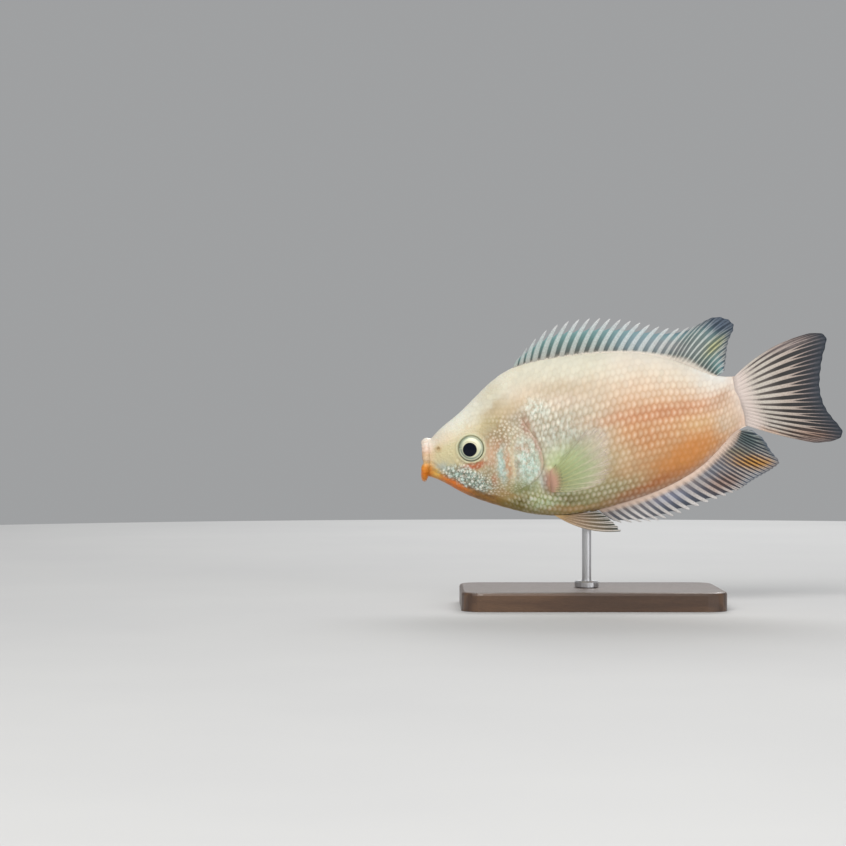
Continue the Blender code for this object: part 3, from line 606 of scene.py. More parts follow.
def fin_numbers(rays, spines, per_ray):
    """Where a fin's columns of points stand, counted in rays; those near a spine are closer together."""
    near_spine = [0, 0.04, 0.09, 0.15, 0.21, 0.27, 0.33, 0.42, 0.53, 0.64, 0.7, 0.76, 0.82, 0.88, 0.94]
    numbers = [0.66, 0.72, 0.78, 0.84, 0.9, 0.95] if spines else [0.72, 0.79, 0.86, 0.93]
    for ray in range(1, rays):
        shares = near_spine if ray < spines else np.arange(per_ray) / per_ray
        numbers += [ray + share for share in shares]
    return np.array(numbers + [rays, rays + 0.07, rays + 0.14, rays + 0.21, rays + 0.28])


def make_fin(
    name, material, rays, spines, base, margin, bow, free, normal, branches=(0.45, 0.78), rows=30,
    root=0.001, root_half=0.0009, ray_half=(0.00052, 0.00022), skin_half=0.00013, ripple=0.0002, scallop=0.0004,
    per_ray=14, spine_width=0.33, ray_width=(0.26, 0.085), broad=0.0, forked=(1.15, 0.95),
):
    """A fin with its rays raised on both faces.

    base, margin, bow and free are functions of the ray number: where a ray starts and ends, how far it bends, and
    how far the membrane behind its tip is cut in. branches are the shares of a ray where it forks, and forked
    those where the fork and the ray's narrowing are complete. broad widens the first spines.
    """
    number = fin_numbers(rays, spines, per_ray)
    start, end = base(number), margin(number)
    across = np.cross(end - start, [0.0, 1.0, 0.0])
    middle = (start + end) / 2 + 2 * bow(number)[:, None] * across
    whole = np.linalg.norm(end - start, axis=1)

    after = np.clip(number, 1, None) - np.floor(np.clip(number, 1, None))
    drop = free(number) / whole
    spine = spine_width * (1 + broad * ease(number, 7, 3))
    rear_edge, web_end = 0.85 * spine, 1 - 0.85 * spine
    web = 1 - 0.2 * (after - rear_edge) / (web_end - rear_edge)
    rise = np.where(after < rear_edge, (after / rear_edge) ** 2.3, web)
    rise = np.where(after > web_end, 0.8 * (np.clip(1 - after, 0, 1) / (1 - web_end)) ** 2.1, rise)
    rise = np.where(number < 1, np.clip((1 - number) / 0.34, 0, 1) ** 0.8, rise)
    spiny = number < spines + 0.6
    top = np.where(spiny, 1 - drop * rise, 1 - scallop / whole * np.sin(np.pi * (number % 1)) ** 2)
    top[number > rays] -= 0.02 * (number[number > rays] - rays) / 0.28

    share = np.linspace(0, 1, rows)[None, :] ** 0.95 * top[:, None]
    u = share[..., None]
    line = start[:, None] * (1 - u) ** 2 + 2 * middle[:, None] * u * (1 - u) + end[:, None] * u ** 2
    inward = (start - middle) / np.linalg.norm(start - middle, axis=1)[:, None]
    line[:, 0] += inward * root

    nearest = np.clip(np.round(number), 1, rays)
    offset = (number - nearest)[:, None]
    spread = np.where(nearest <= spines, 0, 1)[:, None]
    first = 0.24 * ease(share, branches[0], forked[0]) * spread
    second = 0.11 * ease(share, branches[1], 1.1) * spread
    soft = ray_width[0] + (ray_width[1] - ray_width[0]) * ease(share, branches[0] - 0.1, forked[1])
    width = np.where(spread > 0, soft, spine[:, None] * (1.05 - 0.2 * share))
    mask = np.zeros_like(share)
    for one in (-1, 1):
        for two in (-1, 1):
            mask = np.maximum(mask, 1 - ((offset - one * first - two * second) / width) ** 2)
    mask = np.clip(mask, 0, 1)

    half = skin_half + (ray_half[0] + (ray_half[1] - ray_half[0]) * share - skin_half) * np.sqrt(mask)
    half = half + (root_half - half).clip(0) * np.clip(1 - share / 0.2, 0, 1) ** 2.5
    half *= 1 - 0.55 * ease(share / top[:, None], 0.9, 1.0)
    wave = ripple * np.sin(number * 0.9 + 2.0)[:, None] * share ** 1.5
    wave = wave + 0.4 * ripple * np.sin(number * 2.3 + 3 * share.T).T * share ** 2
    out = np.asarray(normal, float)
    faces_of = [line + out * (wave + sign * half)[..., None] for sign in (1, -1)]
    points = np.concatenate([f.reshape(-1, 3) for f in faces_of])

    columns, layer = len(number), len(number) * rows
    faces = grid_faces(columns, rows)
    faces += [[layer + k for k in face[::-1]] for face in grid_faces(columns, rows)]
    for c in range(columns - 1):
        a, b = c * rows, (c + 1) * rows
        far_a, far_b = a + rows - 1, b + rows - 1
        faces += [[a, b, b + layer, a + layer], [far_b, far_a, far_a + layer, far_b + layer]]
    for c in (0, columns - 1):
        a = c * rows
        strip = [[a + k, a + k + 1, a + k + 1 + layer, a + k + layer] for k in range(rows - 1)]
        faces += strip if c == 0 else [f[::-1] for f in strip]

    tables = {"ray": mask, "share": share, "number": number[:, None], "edge": share / top[:, None]}
    values = {key: [np.broadcast_to(table, share.shape)] * 2 for key, table in tables.items()}
    return new_piece(name, points, faces, material, values, (name,))


def constant(value):
    return lambda number: np.full(np.shape(number), float(value))


def in_plane(curve):
    def place(number):
        xz = curve(number)
        return np.stack([xz[..., 0], np.zeros(len(xz)), xz[..., 1]], -1)
    return place


def along_body(knots, line, lift):
    x_at = smooth_curve(knots)

    def place(number):
        x = x_at(number)
        return np.stack([x, np.zeros(len(x)), line(x) + lift], -1)
    return place


DORSAL_BASE = [
    (1, -0.0504), (4, -0.042), (7, -0.0305), (9, -0.0221), (14, -0.0014), (18, 0.0139),
    (22, 0.0209), (26, 0.0279), (31, 0.0364),
]
DORSAL_MARGIN = [
    (1, -0.0483, 0.1078), (3, -0.0417, 0.1151), (4, -0.037, 0.1188), (6, -0.0274, 0.1228),
    (9, -0.0138, 0.1241), (13, 0.0036, 0.1222), (16, 0.0158, 0.1199), (18, 0.0244, 0.1202),
    (19, 0.0282, 0.1213), (21.5, 0.0363, 0.1247), (24, 0.0439, 0.1214), (26, 0.0424, 0.116),
    (29, 0.0408, 0.1076), (31, 0.04, 0.1018),
]
DORSAL_FREE = [(1, 0.002), (3, 0.0056), (6, 0.0072), (10, 0.0066), (16, 0.004), (18, 0.003)]
ANAL_BASE = [(1, -0.0129), (8, 0.0096), (14, 0.0282), (20, 0.0368), (26, 0.0428), (32, 0.0466)]
ANAL_MARGIN = [
    (1, -0.0047, 0.0359), (4, 0.0081, 0.0364), (8, 0.0213, 0.0399), (11, 0.0329, 0.0447),
    (14, 0.0437, 0.0488), (18, 0.051, 0.0534), (22, 0.0577, 0.0573), (25, 0.0623, 0.0603),
    (26.4, 0.0637, 0.0622), (28, 0.0612, 0.0655), (30, 0.0583, 0.0699), (31, 0.0562, 0.0727),
    (32, 0.0522, 0.0756),
]
ANAL_FREE = [(1, 0.0022), (4, 0.0034), (10, 0.0028), (14, 0.0018)]
CAUDAL_MARGIN = [
    (1, 0.0778, 0.1177), (2, 0.0821, 0.1175), (3, 0.084, 0.1151), (4, 0.0832, 0.1108),
    (6, 0.0816, 0.1022), (8, 0.0813, 0.0933), (10, 0.0836, 0.0855), (12, 0.0886, 0.0789),
    (13, 0.091, 0.0756), (14, 0.0901, 0.0726), (15, 0.086, 0.071), (16, 0.0808, 0.0704),
]
CAUDAL_BOW = [(1, 0.07), (4, 0.045), (8, 0.0), (16, -0.02)]
CAUDAL_RAYS = 16
PECTORAL_BASE = [(1, -0.0352, 0.0589), (6, -0.0346, 0.0542), (11, -0.034, 0.0496)]
PECTORAL_MARGIN = [
    (1, -0.024, 0.0745), (2, -0.0195, 0.0772), (3, -0.0153, 0.078), (4, -0.012, 0.0762),
    (5, -0.0106, 0.0726), (7, -0.0092, 0.0636), (8, -0.0096, 0.059), (9, -0.012, 0.0548),
    (10, -0.0168, 0.0518), (11, -0.023, 0.0502),
]
PECTORAL_SPLAY = 0.0085
PELVIC_BASE = [(1, -0.0327), (6, -0.0275)]
PELVIC_BASE_Y = 0.0022
PELVIC_MARGIN = [
    (1, -0.0053, 0.0331), (2, -0.0068, 0.0346), (3, -0.0086, 0.0364), (4, -0.0104, 0.0382),
    (5, -0.0122, 0.0396), (6, -0.0146, 0.0408),
]
PELVIC_SPLAY = [(1, 0.0066), (6, 0.004)]


def belly_surface_z(x, y):
    level = np.sqrt(1 - (y / flank_width(x)) ** (1 / belly_keel(x)))
    return height_at(x, -level)


def make_fins():
    up = (0.0, 1.0, 0.0)
    make_fin(
        "dorsal_fin", dorsal_material(), 31, 18, along_body(DORSAL_BASE, back_z, -0.0004),
        in_plane(smooth_curve(DORSAL_MARGIN)), constant(0.055), smooth_curve(DORSAL_FREE), up, per_ray=16,
        branches=(0.25, 0.62), ray_width=(0.22, 0.08), root_half=0.0004, broad=0.35, spine_width=0.32,
    )
    make_fin(
        "anal_fin", anal_material(), 32, 14, along_body(ANAL_BASE, belly_z, -0.0002),
        in_plane(smooth_curve(ANAL_MARGIN)), constant(-0.03), smooth_curve(ANAL_FREE), up, rows=26,
        branches=(0.3, 0.66), ray_width=(0.27, 0.09),
    )
    heights = enumerate(np.linspace(0.0988, 0.078, 9))
    seat = [(1 + (CAUDAL_RAYS - 1) * k / 8, float(fin_seam(z)), z) for k, z in heights]
    make_fin(
        "caudal_fin", caudal_material(), CAUDAL_RAYS, 0, in_plane(smooth_curve(seat)),
        in_plane(smooth_curve(CAUDAL_MARGIN)), smooth_curve(CAUDAL_BOW), constant(0.0), up, rows=46, per_ray=22,
        branches=(0.38, 0.8), root_half=0.0006, root=0.0014, ripple=0.0004, scallop=0.0003,
        ray_width=(0.38, 0.075), forked=(0.88, 0.8),
    )
    for side, tag in ((-1, "left"), (1, "right")):
        make_pectoral(side, "pectoral_fin_" + tag)
        make_pelvic(side, "pelvic_fin_" + tag)


def make_pectoral(side, name):
    root, tips = smooth_curve(PECTORAL_BASE), smooth_curve(PECTORAL_MARGIN)

    def base(number):
        x, z = root(number).T
        return np.stack([x, side * (flank_y(x, z) + 0.001), z], -1)

    def margin(number):
        x, z = tips(number).T
        return np.stack([x, base(number)[:, 1] + side * (PECTORAL_SPLAY + 0.0006), z], -1)

    reach = 0.0253
    normal = Vector((-PECTORAL_SPLAY, side * reach, 0.0)).normalized()
    make_fin(
        name, pectoral_material(), 11, 0, base, margin, constant(0.0), constant(0.0), normal,
        branches=(0.4, 0.75), rows=38, per_ray=16, root=0.0012, root_half=0.0009, ray_half=(0.0003, 0.00012),
        skin_half=0.00009, ripple=0.00045, scallop=0.0003, ray_width=(0.2, 0.07),
    )


def make_pelvic(side, name):
    root, tips, splay = smooth_curve(PELVIC_BASE), smooth_curve(PELVIC_MARGIN), smooth_curve(PELVIC_SPLAY)

    def base(number):
        x = root(number)
        z = belly_surface_z(x, PELVIC_BASE_Y) - 0.0002
        return np.stack([x, np.full(len(x), side * PELVIC_BASE_Y), z], -1)

    def margin(number):
        x, z = tips(number).T
        return np.stack([x, side * (PELVIC_BASE_Y + splay(number)), z], -1)

    make_fin(
        name, pelvic_material(), 6, 1, base, margin, smooth_curve([(1, -0.085), (6, 0.0)]), constant(0.0009),
        Vector((-0.22, side * 0.97, 0.1)).normalized(), rows=30, per_ray=18, root=0.0008, root_half=0.0007,
        ray_half=(0.00044, 0.0002), ripple=0.00025, spine_width=0.26,
    )


# Eyes


def make_eye(side, name, material):
    """The eyeball's shown cap and its rim, turned about its own axis."""
    surface = float(flank_y(EYE.x, EYE.z))
    outward = Vector((-math.sin(EYE_TURN), side * math.cos(EYE_TURN), 0.0))
    turned = outward.to_track_quat("Z", "Y").to_matrix().to_4x4()
    place = Matrix.Translation((EYE.x, side * surface, EYE.z)) @ turned
    sides, rings = 96, 40
    share = np.linspace(0, 1, rings) ** 0.9
    radius = EYE_RADIUS * 0.985 * share
    dome = EYE_BULGE * np.sqrt(np.clip(1 - (0.97 * share) ** 2, 0, 1)) - 0.0002
    iris = bell(share, 0.555, 0.03)
    dome = dome + 0.00005 * iris
    profile = list(zip(radius, dome)) + [(EYE_RADIUS * 0.96, -0.001), (EYE_RADIUS * 0.8, -0.0026)]
    turn = 2 * np.pi * np.arange(sides) / sides
    points = []
    for r, h in profile:
        for angle in turn:
            points.append(place @ Vector((r * math.cos(angle), r * math.sin(angle), h)))
    points = np.array([tuple(p) for p in points])
    faces = grid_faces(len(profile), sides, closed=True)
    faces.append(list(range((len(profile) - 1) * sides, len(profile) * sides)))
    away = np.hypot(points[:, 0] - EYE.x - PUPIL_SHIFT.x, points[:, 2] - EYE.z - PUPIL_SHIFT.y)
    angle = np.arctan2(points[:, 2] - EYE.z, points[:, 0] - EYE.x)
    disc = np.hypot(points[:, 0] - EYE.x, points[:, 2] - EYE.z)
    values = {"pupil": away / MM, "disc": disc / MM, "turn": angle}
    return new_piece(name, points, faces, material, values, (name,))


# Materials


# The base of the fall towards 0
EULER = 2.718


class Value:
    """A number, colour or vector of a material. What is done to it adds nodes and gives a new value."""

    def __init__(self, paint, socket):
        self.paint, self.socket = paint, socket

    def __add__(self, other):
        return self.paint.math("ADD", self, other)

    def __sub__(self, other):
        return self.paint.math("SUBTRACT", self, other)

    def __mul__(self, other):
        return self.paint.math("MULTIPLY", self, other)

    def __truediv__(self, other):
        return self.paint.math("DIVIDE", self, other)

    def __pow__(self, power):
        return self.paint.math("POWER", self, float(power))

    def fall(self):
        """1 where the value is 0, falling towards 0 as it grows."""
        return self.paint.math("POWER", EULER, self * -1)

    def ease(self, low, high, start=0, end=1):
        ends = {0: self, 1: low, 2: high, 3: start, 4: end}
        return self.paint.value("ShaderNodeMapRange", ends, interpolation_type="SMOOTHSTEP")

    def band(self, rise_from, rise_to, fall_from, fall_to):
        """1 between two eased ends and 0 outside them."""
        return self.ease(rise_from, rise_to) * self.ease(fall_from, fall_to)

    def ramp(self, stops):
        """The colour at this value, from stops of (value, red, green, blue)."""
        made = self.paint.node("ShaderNodeValToRGB", {0: self})
        elements = made.color_ramp.elements
        while len(elements) < len(stops):
            elements.new(0.5)
        for element, (position, *colour) in zip(elements, stops):
            element.position, element.color = position, (*colour, 1)
        return Value(self.paint, made.outputs[0])

    def lay(self, tone, share):
        """This colour with a tone laid over it."""
        return self.paint.mix(share, self, tone)

    def tint(self, tone):
        return self.paint.mix(1, self, tone, "MULTIPLY")

    def axis(self, letter):
        return self.paint.value("ShaderNodeSeparateXYZ", {0: self}, letter)

    def stretch(self, factors):
        return self.paint.vector("MULTIPLY", self, factors)

    def shift(self, way):
        return self.paint.vector("ADD", self, way)

    def noise(self, scale, detail=3, rough=0.55, output="Fac"):
        inputs = {"Vector": self, "Scale": scale, "Detail": detail, "Roughness": rough}
        return self.paint.value("ShaderNodeTexNoise", inputs, output)

    def stir(self, scale, detail, rough):
        """A vector that wanders around zero from place to place."""
        return self.paint.vector("SUBTRACT", self.noise(scale, detail, rough, "Color"), (0.5, 0.5, 0.5))

    def patch(self, x, z, long, high, turn=0, crisp=1):
        """1 in the middle of an oval of the side view and 0 beyond it, in millimetres and degrees."""
        paint, lean = self.paint, math.radians(turn)
        away = paint.vector("SUBTRACT", self, (x, 0, z))
        along = paint.vector("DOT_PRODUCT", away, (math.cos(lean) / long, 0, math.sin(lean) / long))
        over = paint.vector("DOT_PRODUCT", away, (-math.sin(lean) / high, 0, math.cos(lean) / high))
        far = paint.math("MULTIPLY_ADD", over, over, along * along)
        return (far ** crisp).fall()


class Paint:
    """A material whose nodes are built by short calls."""

    def __init__(self, name):
        self.material = bpy.data.materials.new(name)
        self.material.use_nodes = True
        self.tree = self.material.node_tree
        self.shader = self.tree.nodes["Principled BSDF"]

    def node(self, kind, inputs=(), **settings):
        made = self.tree.nodes.new(kind)
        for key, value in settings.items():
            setattr(made, key, value)
        for key, value in dict(inputs).items():
            self.put(made.inputs[key], value)
        return made

    def value(self, kind, inputs=(), output=0, **settings):
        return Value(self, self.node(kind, inputs, **settings).outputs[output])

    def put(self, socket, value):
        if isinstance(value, Value):
            self.tree.links.new(value.socket, socket)
        elif isinstance(value, (tuple, list)) and len(value) == 3 and socket.type == "RGBA":
            socket.default_value = (*value, 1)
        else:
            socket.default_value = value

    def math(self, operation, a, b=0, c=0, clamp=False):
        return self.value("ShaderNodeMath", {0: a, 1: b, 2: c}, operation=operation, use_clamp=clamp)

    def vector(self, operation, a, b=(0, 0, 0)):
        output = "Value" if operation in ("DOT_PRODUCT", "DISTANCE") else 0
        return self.value("ShaderNodeVectorMath", {0: a, 1: b}, output, operation=operation)

    def mix(self, share, a, b, blend="MIX"):
        return self.value("ShaderNodeMix", {0: share, 6: a, 7: b}, 2, data_type="RGBA", blend_type=blend)

    def number(self, name):
        return self.value("ShaderNodeAttribute", output="Fac", attribute_name=name)

    def at(self):
        return self.value("ShaderNodeTexCoord", output="Object")

    def place(self):
        """Where the point is on the model at rest, in millimetres."""
        return self.at().stretch((1000, 1000, 1000))

    def bump(self, height, depth, below=None):
        inputs = {"Height": height, "Strength": 1, "Distance": depth}
        if below is not None:
            inputs["Normal"] = below
        return self.value("ShaderNodeBump", inputs)

    def finish(self, **inputs):
        for key, value in inputs.items():
            self.put(self.shader.inputs[key.replace("_", " ")], value)
        return self.material


# Markings, as (x, z, length, height, turn, colour, strength, crispness): places and sizes in millimetres
PATCHES = [
    (-31, 75, 12, 10, 0, (0.47, 0.46, 0.37), 0.75, 1.2),
    (-30, 89, 13, 4, 0, (0.69, 0.55, 0.45), 0.45, 1),
    (-41.5, 84.5, 5, 5, 20, (0.58, 0.62, 0.53), 0.85, 1.4),
    (-22, 82, 7, 4, 0, (0.5, 0.44, 0.32), 0.45, 1),
    (2, 71.5, 10, 4.5, 12, (0.6, 0.25, 0.09), 0.65, 1),
    (-10, 82, 14, 3, 8, (0.66, 0.44, 0.3), 0.5, 1),
    (11, 83.2, 28, 3.2, 9, (0.62, 0.27, 0.13), 0.72, 1.3),
    (12, 76.5, 17, 3.6, 9, (0.66, 0.34, 0.17), 0.4, 1),
    (28, 78.4, 9, 3.6, 10, (0.76, 0.5, 0.24), 0.55, 1),
    (23, 65, 17, 6.6, 33, (0.67, 0.26, 0.065), 0.95, 1.6),
    (-6, 64.5, 9, 8, 30, (0.62, 0.47, 0.29), 0.7, 1),
    (-26, 61, 13, 8.5, 14, (0.59, 0.73, 0.36), 0.85, 1.3),
    (-16, 69, 7, 8, 30, (0.62, 0.52, 0.42), 0.55, 1),
    (42.5, 84.5, 7, 9, 10, (0.7, 0.53, 0.4), 0.75, 1.2),
    (38.5, 90, 6, 3, 40, (0.56, 0.33, 0.21), 0.7, 1),
    (40, 78, 5, 4, 30, (0.66, 0.55, 0.43), 0.5, 1),
    (-10, 50.5, 15, 4, 14, (0.45, 0.45, 0.26), 0.75, 1.2),
    (-38, 44.8, 9, 3.4, 5, (0.66, 0.8, 0.42), 0.9, 1.3),
    (-25, 42.4, 14, 1.7, 3, (0.68, 0.44, 0.2), 0.85, 1.3),
    (8, 52.8, 14, 1.6, 24, (0.52, 0.18, 0.06), 0.75, 1),
    (-47, 91, 11, 5, 10, (0.7, 0.57, 0.42), 0.55, 1),
    (-61, 80, 8, 3.6, 42, (0.53, 0.46, 0.22), 0.8, 1.2),
    (-54, 84, 9, 4, 25, (0.52, 0.38, 0.21), 0.75, 1),
    (-79.5, 65.5, 8, 7, 0, (0.64, 0.59, 0.35), 0.75, 1.2),
    (-84.5, 71.4, 5, 3.2, 38, (0.67, 0.59, 0.48), 0.8, 1),
    (-61, 91.5, 9, 4.5, 46, (0.61, 0.57, 0.43), 0.8, 1),
    (-59.5, 85, 6, 2.8, 44, (0.41, 0.3, 0.16), 0.75, 1),
    (-32, 93.6, 12, 3.6, 0, (0.51, 0.4, 0.26), 0.75, 1),
    (-49, 80.5, 4.6, 3.2, 20, (0.34, 0.28, 0.19), 0.85, 1),
    (-83.5, 67.5, 2.6, 2.1, 0, (0.6, 0.45, 0.25), 0.55, 1),
    (-80, 71.8, 3.4, 1.5, 30, (0.74, 0.59, 0.44), 0.45, 1),
    (-80.8, 59.4, 3.2, 1.7, -22, (0.52, 0.53, 0.6), 0.6, 1),
    (-58, 73.8, 6.5, 5.5, 10, (0.35, 0.28, 0.16), 0.8, 1.3),
    (-58, 69.5, 2.6, 3, 0, (0.52, 0.26, 0.15), 0.65, 1),
    (-60.6, 65.6, 2, 5.5, 0, (0.66, 0.42, 0.28), 0.75, 1.2),
    (-61, 56, 5, 5, 0, (0.44, 0.4, 0.27), 0.75, 1.2),
    (-71.6, 55.4, 12.5, 4.3, -22, (0.42, 0.52, 0.45), 0.95, 2.2),
    (-68.3, 60.9, 5.4, 1.5, 12, (0.5, 0.13, 0.045), 0.95, 1.3),
    (-76.5, 52.3, 12, 2, -24, (0.76, 0.2, 0.022), 1, 1.4),
    (-86.5, 57, 4.2, 2.6, -20, (0.78, 0.44, 0.09), 0.9, 1.4),
    # This and the next: dark brown along the throat, partly the fish's colour and partly painted shade of the
    # underside.
    (-60, 46.2, 9, 1.7, -22, (0.36, 0.18, 0.045), 0.85, 1.2),
    (-49.5, 43, 8, 1.8, -12, (0.31, 0.25, 0.06), 0.85, 1.2),
    (-56.2, 61, 1.5, 8, 3, (0.5, 0.68, 0.62), 0.9, 1.6),
    (-53.6, 61, 0.9, 7.5, 2, (0.6, 0.32, 0.18), 0.8, 1.2),
    (-51.7, 61, 0.9, 9, 0, (0.76, 0.62, 0.4), 0.85, 1.2),
    (-45.3, 61, 4.6, 8.8, 8, (0.6, 0.76, 0.66), 0.9, 1.6),
    (-47, 67.5, 2.6, 1.4, -20, (0.64, 0.36, 0.22), 0.75, 1),
    (-49.6, 60.2, 1, 6, -4, (0.42, 0.38, 0.29), 0.6, 1.2),
    (-46.8, 62.7, 5.8, 0.75, -35, (0.82, 0.86, 0.72), 0.75, 1.2),
    (-46.4, 77.8, 1.2, 4.6, 4, (0.44, 0.25, 0.18), 0.9, 1.2),
    (-50.5, 76.5, 2, 3.5, 0, (0.62, 0.58, 0.44), 0.6, 1),
    (-41.5, 70, 1.1, 8.5, 14, (0.48, 0.33, 0.27), 0.8, 1.2),
    (-59.2, 54.4, 1.1, 2.8, -10, (0.58, 0.25, 0.14), 0.7, 1),
    # Dark olive below the gill cover's lower edge: partly the fish's colour, partly painted shade.
    (-47, 51, 6, 2.4, 8, (0.22, 0.24, 0.08), 0.8, 1),
    (-53, 48.6, 5.5, 1.4, -12, (0.5, 0.29, 0.1), 0.6, 1),
    # This and the next two: the darkest tones low on the breast, the belly and the throat, partly the fish's
    # colour and partly painted shade of the underside.
    (-48.5, 45.4, 5.5, 2.1, 4, (0.2, 0.16, 0.02), 0.85, 1),
    (-26.5, 46.2, 5.5, 2.4, 5, (0.27, 0.24, 0.08), 0.8, 1),
    (-66.5, 48.4, 6.5, 1.5, -24, (0.26, 0.13, 0.03), 0.85, 1.2),
    (-84.6, 57.4, 2.6, 1.3, -20, (0.8, 0.56, 0.14), 0.75, 1),
]
# Where the scales' spots are fainter, where they are brighter and where the fish is silvery, as
# (x, z, length, height, turn, strength)
CALM = [
    (23, 64.5, 20, 8.5, 33, 0.8), (-26, 60, 14, 9, 10, 0.8), (-52, 92, 14, 8, 0, 0.8), (-80, 66, 9, 9, 0, 0.8),
    (46, 85, 5, 12, 0, 0.6), (-50, 42.5, 12, 3, -8, 0.7), (-65.5, 74, 4.5, 11, 0, 0.9),
    (-58, 85, 12, 6, 30, 0.85), (-20, 93, 30, 5, 0, 0.45), (-31, 75, 13, 9, 0, 0.55), (2, 59, 26, 8, 22, 0.4),
    (-41.5, 84.5, 6, 6, 0, 0.35), (-45.6, 60.5, 6, 9.5, 8, 0.8), (-53.6, 60.5, 4.6, 8.5, 0, 0.55),
]
LIVELY = [
    (-38, 45.5, 12, 4.2, 5, 1.1), (-71.6, 55.4, 13, 4.6, -22, 1.3), (-38, 80, 8, 8, 20, 0.7),
    (-57, 75, 7, 6, 10, 0.8), (-10, 50.5, 15, 4, 14, 0.9),
]
SILVER = [
    (-71.6, 55.4, 13, 4.4, -22, 1), (-45.5, 62, 5.5, 10, 8, 0.9), (-41.5, 84.5, 6, 5.5, 20, 0.6),
    (-31, 75, 14, 10, 0, 0.4), (-56, 61, 2, 8, 0, 0.6), (-38, 45.5, 12, 4, 5, 0.4),
]


def markings(paint, place):
    """The flank's colours, how silvery they are, and the stirred places by which the patches lie."""
    stir = place.stir(0.16, 3, 0.6)
    fine = place.stir(0.75, 2, 0.6)
    loose = place.shift(stir.stretch((6, 0, 5))).shift(fine.stretch((2.4, 0, 2.4)))
    x, z = loose.axis("X"), place.axis("Z")
    height = (paint.number("level") + stir.axis("Y") * 0.22) * 0.5 + 0.5
    front = height.ramp([
        (0, 0.52, 0.4, 0.16), (0.08, 0.5, 0.48, 0.24), (0.22, 0.46, 0.48, 0.26), (0.4, 0.52, 0.52, 0.36),
        (0.53, 0.56, 0.53, 0.41), (0.68, 0.6, 0.5, 0.37), (0.8, 0.67, 0.54, 0.39), (0.9, 0.72, 0.68, 0.54),
        (1, 0.74, 0.71, 0.58),
    ])
    middle = height.ramp([
        (0, 0.62, 0.38, 0.27), (0.08, 0.54, 0.24, 0.1), (0.18, 0.57, 0.32, 0.15), (0.34, 0.65, 0.33, 0.145),
        (0.5, 0.69, 0.36, 0.175), (0.62, 0.68, 0.38, 0.21), (0.73, 0.73, 0.52, 0.36), (0.86, 0.77, 0.66, 0.52),
        (1, 0.78, 0.72, 0.62),
    ])
    rear = height.ramp([
        (0, 0.66, 0.44, 0.34), (0.14, 0.66, 0.34, 0.15), (0.36, 0.7, 0.4, 0.2), (0.58, 0.74, 0.47, 0.3),
        (0.7, 0.78, 0.56, 0.42), (0.84, 0.8, 0.72, 0.62), (1, 0.82, 0.81, 0.76),
    ])
    head = height.ramp([
        (0, 0.56, 0.3, 0.1), (0.18, 0.5, 0.38, 0.18), (0.4, 0.58, 0.48, 0.3), (0.58, 0.64, 0.56, 0.36),
        (0.72, 0.7, 0.63, 0.45), (0.86, 0.76, 0.75, 0.63), (1, 0.81, 0.82, 0.74),
    ])
    colour = front.lay(middle, x.ease(-22, 0))
    colour = colour.lay(rear, x.ease(20, 36))
    colour = colour.lay(head, x.ease(-48, -60))

    cheek = place.patch(-54, 66, 13, 14, 0, 2)
    streaks = place.stretch((1, 1, 0.55)).noise(0.62, 4, 0.65)
    mottled = paint.mix(streaks.ease(0.36, 0.64), (0.56, 0.34, 0.24), (0.66, 0.68, 0.54))
    colour = colour.lay(mottled, cheek * 0.55)
    for px, pz, long, high, turn, tone, strength, crisp in PATCHES:
        colour = colour.lay(tone, loose.patch(px, pz, long, high, turn, crisp) * strength)

    behind, ahead = paint.number("behind"), paint.number("ahead")
    cover = z.band(50, 60, 84, 78)
    rim = behind.band(-1.8, -0.5, 0.3, -0.2)
    colour = colour.lay((0.6, 0.42, 0.33), rim * cover * 0.55)
    shade = behind.band(0, 0.3, 2, 0.4)
    colour = colour.lay((0.36, 0.3, 0.2), shade * cover * 0.5)

    pad = place.patch(PECTORAL_PAD[0] / MM - 0.9, PECTORAL_PAD[1] / MM, 3.5, 5.6, 12, 1.6)
    brown = place.axis("X").ease(-40.2, -33.4).ramp([
        (0, 0.42, 0.34, 0.32), (0.45, 0.44, 0.26, 0.2), (0.8, 0.64, 0.36, 0.25), (1, 0.72, 0.44, 0.31),
    ])
    colour = colour.lay(brown, pad * 0.95)
    # A thin pale curve along the front edge of the pectoral fin's fleshy base: a painted highlight.
    pad_highlight = place.patch(PECTORAL_PAD[0] / MM - 4.2, PECTORAL_PAD[1] / MM + 1, 0.8, 4.6, 12, 1.2)
    colour = colour.lay((0.72, 0.76, 0.7), pad_highlight * 0.7)

    colour = colour.lay((0.78, 0.66, 0.57), ahead.ease(6.5, 0) * 0.85)
    line = ((ahead - 0.5) ** 2 * 2.5).fall()
    colour = colour.lay((0.74, 0.48, 0.42), line * 0.3)

    silver = loose.patch(*SILVER[0][:5], 1.6) * SILVER[0][5]
    for px, pz, long, high, turn, share in SILVER[1:]:
        silver = paint.math("MAXIMUM", silver, loose.patch(px, pz, long, high, turn) * share)
    return colour, silver, loose


def scale_strength(paint, loose):
    """How plainly the scales' spots and borders show: less along the back, and where it's calm."""
    amount = paint.number("level").ease(0.95, 0.45, 0.14, 1)
    for px, pz, long, high, turn, share in CALM:
        amount = amount * (loose.patch(px, pz, long, high, turn, 1.3) * -share + 1)
    for px, pz, long, high, turn, share in LIVELY:
        amount = amount + loose.patch(px, pz, long, high, turn, 1.5) * share
    return amount


